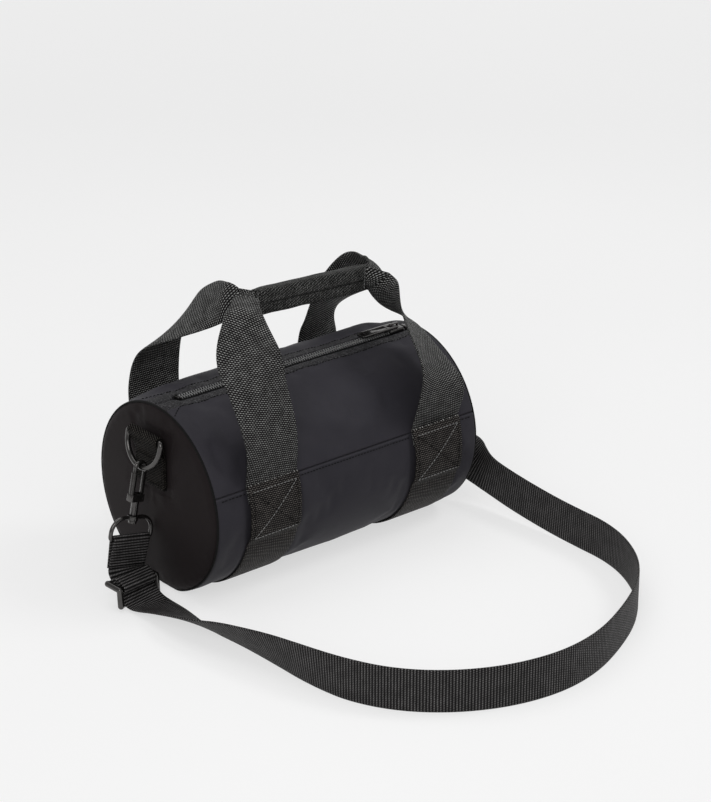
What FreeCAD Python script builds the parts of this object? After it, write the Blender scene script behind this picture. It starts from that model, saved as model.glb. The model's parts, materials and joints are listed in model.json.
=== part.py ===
import FreeCAD, Part
import math
import os

# A small barrel bag that stands on a floor, closed, with its shoulder strap laid in front of it.
# Millimetres. X runs along the barrel, +Y away from the front, +Z up.
# The origin lies on the floor under the middle of the barrel.

Vector = FreeCAD.Vector
ORIGIN = Vector(0, 0, 0)
AXIS_X = Vector(1, 0, 0)
AXIS_Y = Vector(0, 1, 0)
AXIS_Z = Vector(0, 0, 1)

# Clearances
lay_gap = 0.1          # between layers that are sewn together
run_gap = 0.3          # between pieces that move on each other
cut_overrun = 6.0      # how far a cut reaches past what it cuts

# Barrel: a soft cylinder that its own weight presses flat below
barrel_radius = 80.0
barrel_half_length = 137.0
base_press = 3.4       # how far its weight presses the base up
base_corner_radius = 24.0
seam_height = 102.5
panel_thickness = 1.2
lining_thickness = 0.6

# Barrel ends
end_bulge = 4.0
end_foam_thickness = 3.0
piping_radius = 1.1
binding_width = 12.0
binding_thickness = 1.0

# Zip along the top
zip_slot_half = 5.4
zip_tape_width = 15.0
zip_tape_thickness = 0.6
zip_slit_half = 0.9
zip_coil_radius = 1.3
zip_left_inset = 24.0  # from the barrel's ends to the ends of the chain
zip_right_inset = 14.0
zip_stop_length = 3.0
zip_stop_height = 3.0
slider_inset = 25.0
slider_length = 15.0
slider_half_width = 4.8
slider_plate = 1.4
slider_flange = 0.9
slider_post_half = 0.55
slider_post_length = 5.0
bridge_length = 9.0
bridge_width = 2.4
bridge_bar = 1.2
bridge_window = 2.6
pull_length = 37.0
pull_width = 9.5
pull_thickness = 2.0
pull_fork_length = 7.5
pull_pin_radius = 0.75
pull_recess_length = 16.0
pull_recess_depth = 0.4
pull_rim = 1.6
pull_hole_length = 3.4
pull_hole_width = 5.0

# Webbing of the handles and of the girth bands under the barrel
handle_width = 50.0
handle_thickness = 1.8
girth_thickness = 1.8
girth_left_inset = 56.0
girth_right_inset = 46.0
box_top_height = 104.5
box_height = 46.0
girth_step = 3.0
box_gap = 0.8          # room over a handle's end under its sewn box

# Grip that holds both handles together
grip_shift = 8.0       # from midway between the girths
grip_half_length = 58.0
grip_y = -10.0
grip_height = 222.5
grip_tilt = 3.0
grip_fold_height = 19.5
grip_fold_thickness = 3.4
grip_wrap_thickness = 1.0

# Ring tabs, D-rings and swivel snap hooks
tab_width = 38.0
tab_thickness = 1.6
tab_bottom_height = 92.0
tab_loop_height = 120.0
ring_bar_height = 135.0
ring_wire_radius = 2.25
ring_corner_radius = 3.0
ring_arm = 1.5
hook_tilt = 12.0
hook_bar_radius = 1.6
hook_inner_radius = 3.1
hook_room = 2.0
hook_spine = 22.0
hook_nose = 3.5
sleeve_radius = 2.4
sleeve_top = 4.0
hook_block_height = 6.0
hook_block_half_depth = 3.6
hook_barrel_radius = 3.1
stem_radius = 2.0
stem_length = 12.4
stem_head_radius = 3.4
stem_head_height = 2.4
gate_half_depth = 1.3
gate_half_width = 1.3
gate_pin_radius = 0.8
gate_pin_rise = 3.2
gate_knuckle_radius = 2.0
gate_spring_radius = 1.5
gate_spring_length = 1.1
gate_swing_room = 4.1
eye_boss_radius = 4.4
eye_boss_height = 3.6
eye_wire_radius = 1.75
eye_shoulder_half = 8.0
eye_drop = 60.5

# Shoulder strap and its adjuster
strap_width = 35.0
strap_thickness = 1.6
strap_room = 0.5       # between the webbing's edge and a ring's side
strap_floor_gap = 0.4
left_loop_length = 24.0
right_loop_length = 16.0
adjuster_bar_radius = 2.0
adjuster_rail_radius = 2.6
adjuster_half_length = 10.5
adjuster_end_drop = 3.2
adjuster_mid_rise = 5.4
tail_loop_length = 10.0
adjuster_distance = 14.0

# Values that follow from the sizes above
base_height = girth_thickness + lay_gap
barrel_axis_height = base_height + barrel_radius - base_press
zip_chain_left = zip_left_inset - barrel_half_length
zip_chain_right = barrel_half_length - zip_right_inset
slider_rest_x = barrel_half_length - slider_inset
girth_left_x = girth_left_inset - barrel_half_length
girth_right_x = barrel_half_length - girth_right_inset
grip_centre_x = (girth_left_x + girth_right_x) / 2 + grip_shift
seam_inset = 2 * piping_radius + lay_gap
wall_end_x = barrel_half_length - seam_inset
lining_outer = -panel_thickness - lay_gap
lining_inner = lining_outer - lining_thickness
end_outline = min(-seam_inset, lining_inner - lay_gap)
dome_radius = (barrel_radius ** 2 + end_bulge ** 2) / (2 * end_bulge)
tape_outer = lining_outer
tape_inner = tape_outer - zip_tape_thickness
tape_top = barrel_axis_height + barrel_radius + tape_outer
tape_bottom = tape_top - zip_tape_thickness
coil_height = tape_top + lay_gap + zip_coil_radius
coil_top = coil_height + zip_coil_radius
box_bottom_height = box_top_height - box_height
girth_raise = lay_gap + handle_thickness + box_gap
tab_back_x = barrel_half_length + end_bulge + lay_gap
tab_front_x = tab_back_x + 2 * tab_thickness + lay_gap
hook_outer_radius = hook_inner_radius + 2 * hook_bar_radius
hook_arc_radius = hook_inner_radius + hook_bar_radius
ring_arc_radius = tab_width / 2 + strap_room + ring_wire_radius
ring_reach = ring_corner_radius + ring_arm + ring_arc_radius
ring_low_x = tab_front_x + hook_outer_radius + hook_room
ring_low_height = ring_bar_height - ring_reach * math.cos(math.radians(hook_tilt))
ring_bar_x = ring_low_x - ring_reach * math.sin(math.radians(hook_tilt))
eye_half = strap_width / 2 + strap_room + eye_wire_radius

nodes = {}


# Shared shapes


def block(x0, x1, y0, y1, z0, z1):
    """A box between two corners."""
    return Part.makeBox(x1 - x0, y1 - y0, z1 - z0, Vector(x0, y0, z0))


def barrel_face(offset, x):
    """The barrel's cross section at x, grown by offset: an arc, two base corners and a flat."""
    radius = barrel_radius + offset
    corner = base_corner_radius + offset
    low = base_height - offset
    corner_z = base_height + base_corner_radius
    reach = barrel_radius - base_corner_radius
    drop = barrel_axis_height - corner_z
    corner_y = math.sqrt(reach ** 2 - drop ** 2)
    turn = math.atan2(corner_y, drop)

    def corner_point(side, angle):
        y = side * (corner_y + corner * math.sin(angle))
        return Vector(x, y, corner_z - corner * math.cos(angle))

    left = [corner_point(-1, 0), corner_point(-1, turn / 2), corner_point(-1, turn)]
    right = [corner_point(1, 0), corner_point(1, turn / 2), corner_point(1, turn)]
    top = Vector(x, 0, barrel_axis_height + radius)
    flat = Part.LineSegment(Vector(x, -corner_y, low), Vector(x, corner_y, low))
    arcs = [Part.Arc(right[0], right[1], right[2]), Part.Arc(right[2], top, left[2])]
    arcs.append(Part.Arc(left[2], left[1], left[0]))
    return Part.Face(Part.Wire([flat.toShape()] + [arc.toShape() for arc in arcs]))


def barrel_prism(offset, x0, x1):
    return barrel_face(offset, x0).extrude(Vector(x1 - x0, 0, 0))


def barrel_shell(inner, outer, x0, x1):
    """A sleeve round the barrel between two offsets from its outer face."""
    face = barrel_face(outer, x0).cut(barrel_face(inner, x0))
    return face.extrude(Vector(x1 - x0, 0, 0))


def keep_above(shape, height):
    box = shape.BoundBox
    top = max(box.ZMax, height) + cut_overrun
    return shape.common(block(box.XMin - cut_overrun, box.XMax + cut_overrun,
                              box.YMin - cut_overrun, box.YMax + cut_overrun, height, top))


def keep_below(shape, height):
    box = shape.BoundBox
    low = min(box.ZMin, height) - cut_overrun
    return shape.common(block(box.XMin - cut_overrun, box.XMax + cut_overrun,
                              box.YMin - cut_overrun, box.YMax + cut_overrun, low, height))


def keep_between_y(shape, y0, y1):
    box = shape.BoundBox
    return shape.common(block(box.XMin - cut_overrun, box.XMax + cut_overrun, y0, y1,
                              box.ZMin - cut_overrun, box.ZMax + cut_overrun))


def upright_edges(box):
    return [edge for edge in box.Edges if abs(edge.tangentAt(edge.FirstParameter).dot(AXIS_Z)) > 0.5]


def rod(start, end, radius):
    return Part.makeCylinder(radius, (end - start).Length, start, end - start)


def wire_bar(edges, radius):
    """A round bar along lines and tangent arcs."""
    path = Part.Wire(edges)
    first = edges[0]
    start = first.valueAt(first.FirstParameter)
    tangent = first.tangentAt(first.FirstParameter)
    ring = Part.Wire(Part.makeCircle(radius, start, tangent))
    return path.makePipeShell([ring], True, True)


def rounded_path(points, radii, closed):
    """Lines through points, with a tangent arc of the given radius at each corner."""
    count = len(points)
    corners = []
    for i in range(count):
        inner = closed or 0 < i < count - 1
        if not inner or radii[i] == 0:
            corners.append((points[i], None, points[i]))
            continue
        back = (points[i - 1] - points[i]).normalize()
        ahead = (points[(i + 1) % count] - points[i]).normalize()
        half = back.getAngle(ahead) / 2
        cut = radii[i] / math.tan(half)
        bisector = (back + ahead).normalize()
        centre = points[i] + bisector * (radii[i] / math.sin(half))
        corners.append((points[i] + back * cut, centre - bisector * radii[i], points[i] + ahead * cut))
    edges = []
    last = count if closed else count - 1
    for i in range(count):
        if corners[i][1] is not None:
            edges.append(Part.Arc(corners[i][0], corners[i][1], corners[i][2]).toShape())
        if i < last:
            after = corners[(i + 1) % count][0]
            if (after - corners[i][2]).Length > lay_gap ** 2:
                edges.append(Part.LineSegment(corners[i][2], after).toShape())
    return edges


def ribbon(stations, half_thickness):
    """A flat band: ruled faces between stations of (centre, half width vector, thickness share)."""
    sections = []
    for i, (centre, half_width, share) in enumerate(stations):
        before = stations[max(i - 1, 0)][0]
        after = stations[min(i + 1, len(stations) - 1)][0]
        normal = (after - before).cross(half_width).normalize() * (half_thickness * share)
        sections.append([centre + half_width + normal, centre - half_width + normal,
                         centre - half_width - normal, centre + half_width - normal])
    faces = [Part.Face(Part.makePolygon(corners + corners[:1])) for corners in (sections[0], sections[-1])]
    for here, there in zip(sections, sections[1:]):
        for k in range(len(here)):
            patch = Part.BSplineSurface()
            corners = [[here[k - 1], here[k]], [there[k - 1], there[k]]]
            patch.buildFromPolesMultsKnots(corners, [2, 2], [2, 2], [0, 1], [0, 1], False, False, 1, 1)
            faces.append(patch.toShape())
    shell = Part.makeShell(faces)
    shell.sewShape()
    band = Part.makeSolid(shell)
    if band.Volume < 0:
        band.reverse()
    return band


def smooth(rows, steps):
    """Rows of numbers made finer: a curve through every row, with steps pieces between two rows."""
    fine = []
    for i in range(len(rows) - 1):
        a = rows[max(i - 1, 0)]
        b = rows[i]
        c = rows[i + 1]
        d = rows[min(i + 2, len(rows) - 1)]
        for k in range(steps):
            t = k / steps
            row = [b[j] + t * (c[j] - a[j]) / 2 + t * t * (a[j] - 2.5 * b[j] + 2 * c[j] - d[j] / 2)
                   + t ** 3 * (1.5 * (b[j] - c[j]) + (d[j] - a[j]) / 2) for j in range(len(b))]
            fine.append(row)
    fine.append(list(rows[-1]))
    return fine


def webbing_loop(centre, bar_radius, run, across, width, length, thickness):
    """Webbing folded round a bar: run points from the bar to the sewn end, across lies square to it."""
    inner = bar_radius + run_gap
    outer = inner + thickness
    half_end = thickness + lay_gap / 2
    apex = length - thickness

    def place(along, side):
        return centre + run * along + across * side

    def drop(radius, end_along, end_side):
        reach = math.hypot(end_along, end_side)
        swing = math.acos(radius / reach) + math.atan2(end_side, end_along)
        touch = (radius * math.cos(swing), radius * math.sin(swing))
        upper = place(touch[0], touch[1])
        lower = place(touch[0], -touch[1])
        back = Part.Arc(upper, place(-radius, 0), lower).toShape()
        ends = [place(end_along, end_side), place(end_along, -end_side)]
        edges = [Part.LineSegment(ends[0], upper).toShape(), back, Part.LineSegment(lower, ends[1]).toShape()]
        if end_side > 0:
            edges.append(Part.LineSegment(ends[1], ends[0]).toShape())
        return Part.Face(Part.Wire(edges))

    face = drop(outer, length, half_end).cut(drop(inner, apex, 0))
    side = run.cross(across).normalize() * width
    face.translate(side * -0.5)
    return face.extrude(side)


def mirrored(shape):
    return shape.mirror(ORIGIN, AXIS_X)


def both_ends(name, shape):
    """Keeps a piece made at the right end, and its mirror image at the left end."""
    nodes["right_" + name] = shape
    nodes["left_" + name] = mirrored(shape)


# Barrel cover and lining


def zip_mouth():
    """The space along the top that the lining and the bindings leave for the zip."""
    half = zip_tape_width + zip_slit_half + lay_gap
    return block(-barrel_half_length, barrel_half_length, -half, half,
                 barrel_axis_height, tape_top + cut_overrun)


def make_cover():
    wall = barrel_shell(-panel_thickness, 0, -wall_end_x, wall_end_x)
    nodes["base_panel"] = keep_below(wall, seam_height)
    upper = keep_above(wall, seam_height + lay_gap)
    far = barrel_radius + cut_overrun
    nodes["front_upper_panel"] = keep_between_y(upper, -far, -zip_slot_half)
    nodes["back_upper_panel"] = keep_between_y(upper, zip_slot_half, far)
    sleeve = barrel_shell(lining_inner, lining_outer, -wall_end_x, wall_end_x)
    nodes["lining_sleeve"] = sleeve.cut(zip_mouth())


def dome(depth, thickness):
    """A bulged disc in the right end, its outer face at depth behind the end's outer face."""
    centre = Vector(barrel_half_length + end_bulge - dome_radius, 0, barrel_axis_height)
    shell = Part.makeSphere(dome_radius - depth, centre)
    shell = shell.cut(Part.makeSphere(dome_radius - depth - thickness, centre))
    start = barrel_half_length - depth - thickness - cut_overrun
    return shell.common(barrel_prism(end_outline, start, barrel_half_length + end_bulge + cut_overrun))


def make_ends():
    both_ends("end_panel", dome(0, panel_thickness))
    foam_depth = panel_thickness + lay_gap
    both_ends("end_foam", dome(foam_depth, end_foam_thickness))
    disc_depth = foam_depth + end_foam_thickness + lay_gap
    both_ends("end_lining", dome(disc_depth, lining_thickness))
    edge = barrel_face(-piping_radius, barrel_half_length - piping_radius).OuterWire
    start = edge.OrderedEdges[0]
    first = start.FirstParameter
    ring = Part.makeCircle(piping_radius, start.valueAt(first), start.tangentAt(first))
    both_ends("seam_piping", edge.makePipeShell([Part.Wire(ring)], True, True))
    binding_outer = lining_inner - lay_gap
    binding_end = barrel_half_length - disc_depth - lining_thickness - piping_radius
    binding = barrel_shell(binding_outer - binding_thickness, binding_outer,
                           binding_end - binding_width, binding_end)
    both_ends("seam_binding", binding.cut(zip_mouth()))


# Zip


def make_zip():
    tape = barrel_shell(tape_inner, tape_outer, -wall_end_x, wall_end_x)
    tape = keep_above(tape, barrel_axis_height)
    edge = zip_slit_half + zip_tape_width
    nodes["zip_tape_front"] = keep_between_y(tape, -edge, -zip_slit_half)
    nodes["zip_tape_back"] = keep_between_y(tape, zip_slit_half, edge)
    for name, side in (("zip_coil_front", -1), ("zip_coil_back", 1)):
        y = side * (zip_slit_half + zip_coil_radius)
        left = Vector(zip_chain_left, y, coil_height)
        nodes[name] = rod(left, Vector(zip_chain_right, y, coil_height), zip_coil_radius)
    half = zip_slit_half + 2 * zip_coil_radius
    stops = []
    for x in (zip_chain_left - lay_gap - zip_stop_length, zip_chain_right + lay_gap):
        low = tape_top + lay_gap
        stops.append(block(x, x + zip_stop_length, -half, half, low, low + zip_stop_height))
    nodes["zip_end_stops"] = Part.makeCompound(stops)


def pull_axis_height():
    return coil_top + run_gap + slider_plate + bridge_window / 2


def make_slider():
    low = coil_top + run_gap
    high = low + slider_plate
    start = slider_rest_x - slider_length / 2
    end = slider_rest_x + slider_length / 2
    plate = block(start, end, -slider_half_width, slider_half_width, low, high)
    flange_low = tape_top + run_gap
    inner = slider_half_width - slider_flange
    body = plate.fuse([block(start, end, inner, slider_half_width, flange_low, high),
                       block(start, end, -slider_half_width, -inner, flange_low, high)])
    under = tape_bottom - run_gap
    lower = block(start, end, -slider_half_width, slider_half_width, under - slider_plate, under)
    post = block(end - slider_post_length, end, -slider_post_half, slider_post_half,
                 under - slider_plate, high)
    top = high + bridge_window + bridge_bar
    bridge = block(slider_rest_x - bridge_length / 2, slider_rest_x + bridge_length / 2,
                   -bridge_width / 2, bridge_width / 2, high, top)
    window = bridge_length / 2 - bridge_bar
    hole = block(slider_rest_x - window, slider_rest_x + window, -bridge_width, bridge_width,
                 high, high + bridge_window)
    nodes["zip_slider"] = body.fuse([lower, post, bridge.cut(hole)]).removeSplitter()


def make_pull():
    z = pull_axis_height()
    half = pull_thickness / 2
    tip = slider_rest_x - pull_length
    plate = block(tip, slider_rest_x, -pull_width / 2, pull_width / 2, z - half, z + half)
    tip_corners = [edge for edge in upright_edges(plate) if abs(edge.CenterOfMass.x - tip) < lay_gap]
    plate = plate.makeFillet(pull_rim, tip_corners)
    pin_start = Vector(slider_rest_x, -pull_width / 2, z)
    pin_end = Vector(slider_rest_x, pull_width / 2, z)
    plate = plate.fuse(rod(pin_start, pin_end, half))
    fork = bridge_width / 2 + run_gap
    reach = slider_rest_x - pull_fork_length
    plate = plate.cut(block(reach, slider_rest_x + cut_overrun, -fork, fork, z - pull_width, z + pull_width))
    pin = rod(pin_start, pin_end, pull_pin_radius)
    recess_end = reach - pull_rim
    hole_start = tip + pull_rim
    hole = block(hole_start, hole_start + pull_hole_length, -pull_hole_width / 2, pull_hole_width / 2,
                 z - pull_width, z + pull_width)
    recess_half = pull_width / 2 - pull_rim
    recess = block(recess_end - pull_recess_length, recess_end, -recess_half, recess_half,
                   z + half - pull_recess_depth, z + pull_width)
    nodes["zip_pull"] = plate.fuse(pin).cut(hole).cut(recess).removeSplitter()


# Girth webbing and handles


def make_girth(name, x):
    start = x - handle_width / 2
    end = x + handle_width / 2
    under = keep_below(barrel_shell(lay_gap, lay_gap + girth_thickness, start, end), box_bottom_height)
    raised = barrel_shell(lay_gap + girth_raise, lay_gap + girth_raise + girth_thickness, start, end)
    raised = keep_below(keep_above(raised, box_bottom_height), box_top_height)
    step = barrel_shell(lay_gap, lay_gap + girth_raise + girth_thickness, start, end)
    step = keep_below(keep_above(step, box_bottom_height - girth_step), box_bottom_height)
    nodes[name] = under.fuse([raised, step]).removeSplitter()


# A handle leg from the top of its box (0) to the grip's end (1). Each row: shares of the way along X, Y, Z,
# the turn of the webbing about its own run in degrees, and its width as a share. The two handles stand by
# themselves, so each leg bends and turns in its own way: the front left one turns its outer edge up, the
# others their inner edge.
front_left_leg_shares = [
    (0.00, 0.00, 0.00, 0, 1.0),
    (-0.05, -0.05, 0.30, 0, 1.0),
    (-0.20, 0.10, 0.65, -10, 1.0),
    (-0.13, 0.35, 0.85, -40, 0.97),
    (0.11, 0.57, 1.01, -30, 0.65),
    (0.36, 0.72, 1.07, -15, 0.47),
    (0.58, 0.85, 1.09, 0, 0.4),
]
front_right_leg_shares = [
    (0.00, 0.00, 0.00, 0, 1.0),
    (-0.05, -0.12, 0.25, 0, 1.0),
    (-0.05, 0.00, 0.45, 20, 1.0),
    (0.10, 0.40, 0.70, 32, 1.0),
    (0.20, 0.60, 0.80, 48, 0.9),
    (0.35, 0.80, 0.90, 88, 0.7),
    (0.55, 0.90, 0.97, 112, 0.5),
]
back_left_leg_shares = [
    (0.00, 0.00, 0.00, 0, 1.0),
    (0.00, -0.03, 0.30, 0, 1.0),
    (0.05, 0.08, 0.58, 10, 1.0),
    (0.24, 0.40, 0.82, 38, 1.0),
    (0.42, 0.65, 0.94, 50, 0.9),
    (0.55, 0.85, 1.00, 65, 0.65),
    (0.68, 0.95, 1.00, 75, 0.5),
]
back_right_leg_shares = [
    (0.00, 0.00, 0.00, 0, 1.0),
    (0.00, 0.00, 0.25, 10, 1.0),
    (-0.15, 0.02, 0.45, 15, 1.0),
    (-0.55, 0.28, 0.72, -20, 1.0),
    (-0.70, 0.55, 0.87, -55, 0.95),
    (-0.30, 0.80, 0.95, -65, 0.7),
    (0.25, 0.90, 1.00, -80, 0.5),
    (0.70, 0.97, 1.00, -95, 0.4),
]
leg_steps = 4
tail_steps = 10


def leg_stations(shares, girth_x, top_edge, end, side):
    """Stations of one leg from under its sewn box to the grip; top_edge says which edge ends on top."""
    radius = barrel_radius + lay_gap + handle_thickness / 2
    lift = box_gap / 2
    low = math.asin((box_bottom_height + box_gap - barrel_axis_height) / radius)
    high = math.asin((box_top_height - barrel_axis_height) / radius)
    level = AXIS_X * top_edge
    stations = []
    for k in range(tail_steps):
        angle = low + (high - low) * k / tail_steps
        out = radius + lift * k / tail_steps
        spot = Vector(girth_x, side * out * math.cos(angle), barrel_axis_height + out * math.sin(angle))
        stations.append((spot, level * (handle_width / 2), 1.0))
    start = Vector(girth_x, side * (radius + lift) * math.cos(high), box_top_height)
    reach = end - start
    rows = smooth(shares, leg_steps)
    spots = [start + Vector(reach.x * row[0], reach.y * row[1], reach.z * row[2]) for row in rows]
    folded = grip_fold_thickness / handle_thickness - 1
    narrowed = 1 - grip_fold_height / handle_width
    for i, row in enumerate(rows):
        run = (spots[min(i + 1, len(spots) - 1)] - spots[max(i - 1, 0)]).normalize()
        across = (level - run * level.dot(run)).normalize()
        turn = math.radians(row[3])
        half = (across * math.cos(turn) + run.cross(across) * math.sin(turn)) * (handle_width * row[4] / 2)
        stations.append((spots[i], half, 1 + folded * (1 - row[4]) / narrowed))
    return stations


def grip_end(end, side):
    """The middle of one handle's folded webbing at an end of the grip."""
    tilt = math.radians(grip_tilt)
    y = grip_y + side * (grip_fold_thickness + lay_gap) / 2
    return Vector(grip_centre_x + end * grip_half_length * math.cos(tilt), y,
                  grip_height - end * grip_half_length * math.sin(tilt))


def make_handle(name, side, left_shares, left_top_edge, right_shares):
    left_end = grip_end(-1, side)
    right_end = grip_end(1, side)
    left = leg_stations(left_shares, girth_left_x, left_top_edge, left_end, side)
    right = leg_stations(right_shares, girth_right_x, -1, right_end, side)
    tilt = math.radians(grip_tilt)
    fold = Vector(math.sin(tilt), 0, math.cos(tilt)) * (grip_fold_height / 2)
    folded = grip_fold_thickness / handle_thickness
    bundle = [(left_end, fold, folded), (right_end, fold, folded)]
    nodes[name] = ribbon(left + bundle + right[::-1], handle_thickness / 2)


def make_grip():
    half_y = grip_fold_thickness + lay_gap / 2 + run_gap
    half_z = grip_fold_height / 2 + run_gap
    wall = grip_wrap_thickness
    reach = grip_half_length
    outer = block(-reach, reach, -half_y - wall, half_y + wall, -half_z - wall, half_z + wall)
    inner = block(-reach - cut_overrun, reach + cut_overrun, -half_y, half_y, -half_z, half_z)
    long_edges = [edge for edge in outer.Edges if edge.Length > reach]
    sleeve = outer.makeFillet(wall, long_edges).cut(inner)
    sleeve.rotate(ORIGIN, AXIS_Y, grip_tilt)
    sleeve.translate(Vector(grip_centre_x, grip_y, grip_height))
    nodes["handle_grip"] = sleeve


# Ring tabs, D-rings and hooks, made at the right end


def make_tab():
    centre = Vector(ring_bar_x, 0, ring_bar_height)
    seat = Vector((tab_back_x + tab_front_x) / 2, 0, tab_loop_height)
    run = (seat - centre).normalize()
    across = run.cross(AXIS_Y).normalize()
    loop = webbing_loop(centre, ring_wire_radius, run, across, tab_width,
                        (seat - centre).Length, tab_thickness)
    half = tab_width / 2
    flat = block(tab_back_x, tab_front_x, -half, half, tab_bottom_height, tab_loop_height)
    both_ends("ring_tab", loop.fuse(flat).removeSplitter())


def hang(shape):
    """Moves a piece, made upright about the ring's lowest wire, to its tilted place at the right end."""
    placed = shape.copy()
    placed.rotate(ORIGIN, AXIS_Y, -hook_tilt)
    placed.translate(Vector(ring_low_x, 0, ring_low_height))
    return placed


def make_ring():
    half = ring_arc_radius
    points = [Vector(0, -half, ring_reach), Vector(0, half, ring_reach)]
    side = Vector(0, half, ring_arc_radius)
    arc = Part.Arc(side, ORIGIN, Vector(0, -half, ring_arc_radius)).toShape()
    outline = [Vector(0, -half, ring_arc_radius), points[0], points[1], side]
    edges = rounded_path(outline, [0, ring_corner_radius, ring_corner_radius, 0], False)
    both_ends("d_ring", hang(wire_bar(edges + [arc], ring_wire_radius)))


hung_out = Vector(math.cos(math.radians(hook_tilt)), 0, math.sin(math.radians(hook_tilt)))
hung_down = Vector(math.sin(math.radians(hook_tilt)), 0, -math.cos(math.radians(hook_tilt)))
eye_bar_middle = Vector(ring_low_x, 0, ring_low_height) + hung_down * eye_drop


crook_height = -(hook_inner_radius - ring_wire_radius - run_gap)
nose_height = crook_height - hook_nose
block_top = crook_height - hook_spine
block_low = block_top - hook_block_height
gate_axis_height = block_top - gate_pin_rise
boss_top = block_low - stem_length
boss_low = boss_top - eye_boss_height


def gate_rod(y0, y1, radius):
    """A cylinder on the gate's hinge line."""
    start = Vector(-hook_arc_radius, y0, gate_axis_height)
    return rod(start, start + AXIS_Y * (y1 - y0), radius)


def make_hook():
    arc = hook_arc_radius
    spine_low = Vector(arc, 0, block_top - hook_bar_radius)
    side = Vector(arc, 0, crook_height)
    over = Vector(0, 0, crook_height + arc)
    far_side = Vector(-arc, 0, crook_height)
    nose = Vector(-arc, 0, nose_height)
    curves = [Part.LineSegment(spine_low, side), Part.Arc(side, over, far_side)]
    curves.append(Part.LineSegment(far_side, nose))
    bar = wire_bar([curve.toShape() for curve in curves], hook_bar_radius)
    sleeve = rod(spine_low, Vector(arc, 0, crook_height - sleeve_top), sleeve_radius)
    outer = hook_outer_radius
    depth = hook_block_half_depth
    body = block(-outer, outer + sleeve_radius - hook_bar_radius, -depth, depth, block_low, block_top)
    body = body.makeFillet(hook_bar_radius, upright_edges(body))
    slot = gate_half_depth + run_gap + gate_spring_length + lay_gap
    body = body.cut(block(-outer - cut_overrun, gate_swing_room - arc, -slot, slot,
                          block_low - cut_overrun, block_top + cut_overrun))
    body = body.cut(gate_rod(-depth - cut_overrun, depth + cut_overrun, gate_pin_radius + lay_gap / 2))
    head_top = boss_low - run_gap
    head_low = Vector(0, 0, head_top - stem_head_height)
    stem = rod(head_low, Vector(0, 0, block_low + stem_radius), stem_radius)
    barrel = rod(Vector(0, 0, boss_top + run_gap), Vector(0, 0, block_low), hook_barrel_radius)
    head = rod(head_low, Vector(0, 0, head_top), stem_head_radius)
    both_ends("hook_body", hang(bar.fuse([sleeve, body, stem, barrel, head]).removeSplitter()))

    gate_top = nose_height - run_gap
    gate = block(-arc - gate_half_width, gate_half_width - arc, -gate_half_depth, gate_half_depth,
                 gate_axis_height, gate_top)
    knuckle = gate_rod(-gate_half_depth, gate_half_depth, gate_knuckle_radius)
    bore = gate_rod(-depth, depth, gate_pin_radius + lay_gap)
    both_ends("hook_gate", hang(gate.fuse(knuckle).cut(bore).removeSplitter()))
    both_ends("gate_pin", hang(gate_rod(-depth, depth, gate_pin_radius)))
    springs = []
    for y in (gate_half_depth + run_gap, -gate_half_depth - run_gap - gate_spring_length):
        springs.append(gate_rod(y, y + gate_spring_length, gate_spring_radius).cut(bore))
    both_ends("gate_spring", hang(Part.makeCompound(springs)))


def make_eye():
    half = eye_half
    top = boss_top - eye_boss_height / 2
    shoulder = half - eye_shoulder_half
    points = [Vector(-half, 0, top), Vector(half, 0, top),
              Vector(half, 0, -eye_drop), Vector(-half, 0, -eye_drop)]
    radii = [shoulder, shoulder, ring_corner_radius, ring_corner_radius]
    frame = wire_bar(rounded_path(points, radii, True), eye_wire_radius)
    boss = rod(Vector(0, 0, boss_low), Vector(0, 0, boss_top), eye_boss_radius)
    bore_top = Vector(0, 0, boss_top + cut_overrun)
    bore = rod(Vector(0, 0, boss_low - cut_overrun), bore_top, stem_radius + run_gap)
    both_ends("swivel_eye", hang(frame.fuse(boss).cut(bore).removeSplitter()))


# Shoulder strap. The route is the strap's middle line where it stands on its edge, seen from above.
floor_route = [
    (-142.0, -245.0), (-129.0, -272.0), (-109.0, -296.0), (-81.0, -317.0), (-47.0, -332.0), (-7.3, -338.7),
    (32.5, -333.6), (71.2, -318.3), (109.0, -297.8), (139.9, -271.3), (161.2, -235.5), (170.0, -203.0),
]
# From the adjuster to the floor run: x, y, height of the middle line, turn of the width up from level.
left_drop_route = [(-168.5, -20.5, 3.2, 0.0), (-166.8, -32.0, 2.5, 4.0)]
left_twist_route = [
    (-166.8, -32.3, 2.5, 4.0), (-166.2, -48.0, 4.7, 12.0), (-167.2, -66.0, 7.3, 21.0),
    (-168.2, -84.0, 10.0, 31.0), (-166.5, -104.0, 12.2, 40.0), (-162.2, -124.0, 14.3, 50.0),
    (-158.6, -150.0, 16.1, 60.0), (-155.2, -174.0, 17.2, 70.0), (-152.4, -199.0, 17.9, 79.0),
    (-148.0, -223.0, 18.0, 85.0), (-142.3, -244.4, 18.0, 90.0),
]
# From the loop on the right hook's eye to the floor run.
right_turn_route = [(164.4, -26.0, 47.0, 18.0), (165.2, -36.0, 42.0, 48.0), (165.9, -48.0, 36.2, 76.0)]
right_rise_route = [
    (165.9, -48.3, 36.1, 76.0), (166.3, -64.0, 30.5, 90.0), (167.0, -90.0, 25.8, 90.0),
    (168.0, -118.0, 22.2, 90.0), (169.0, -146.0, 19.5, 90.0), (170.0, -172.0, 18.2, 90.0),
    (170.1, -202.3, 18.0, 90.0),
]
route_steps = 3
arc_share = 0.45


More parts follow.
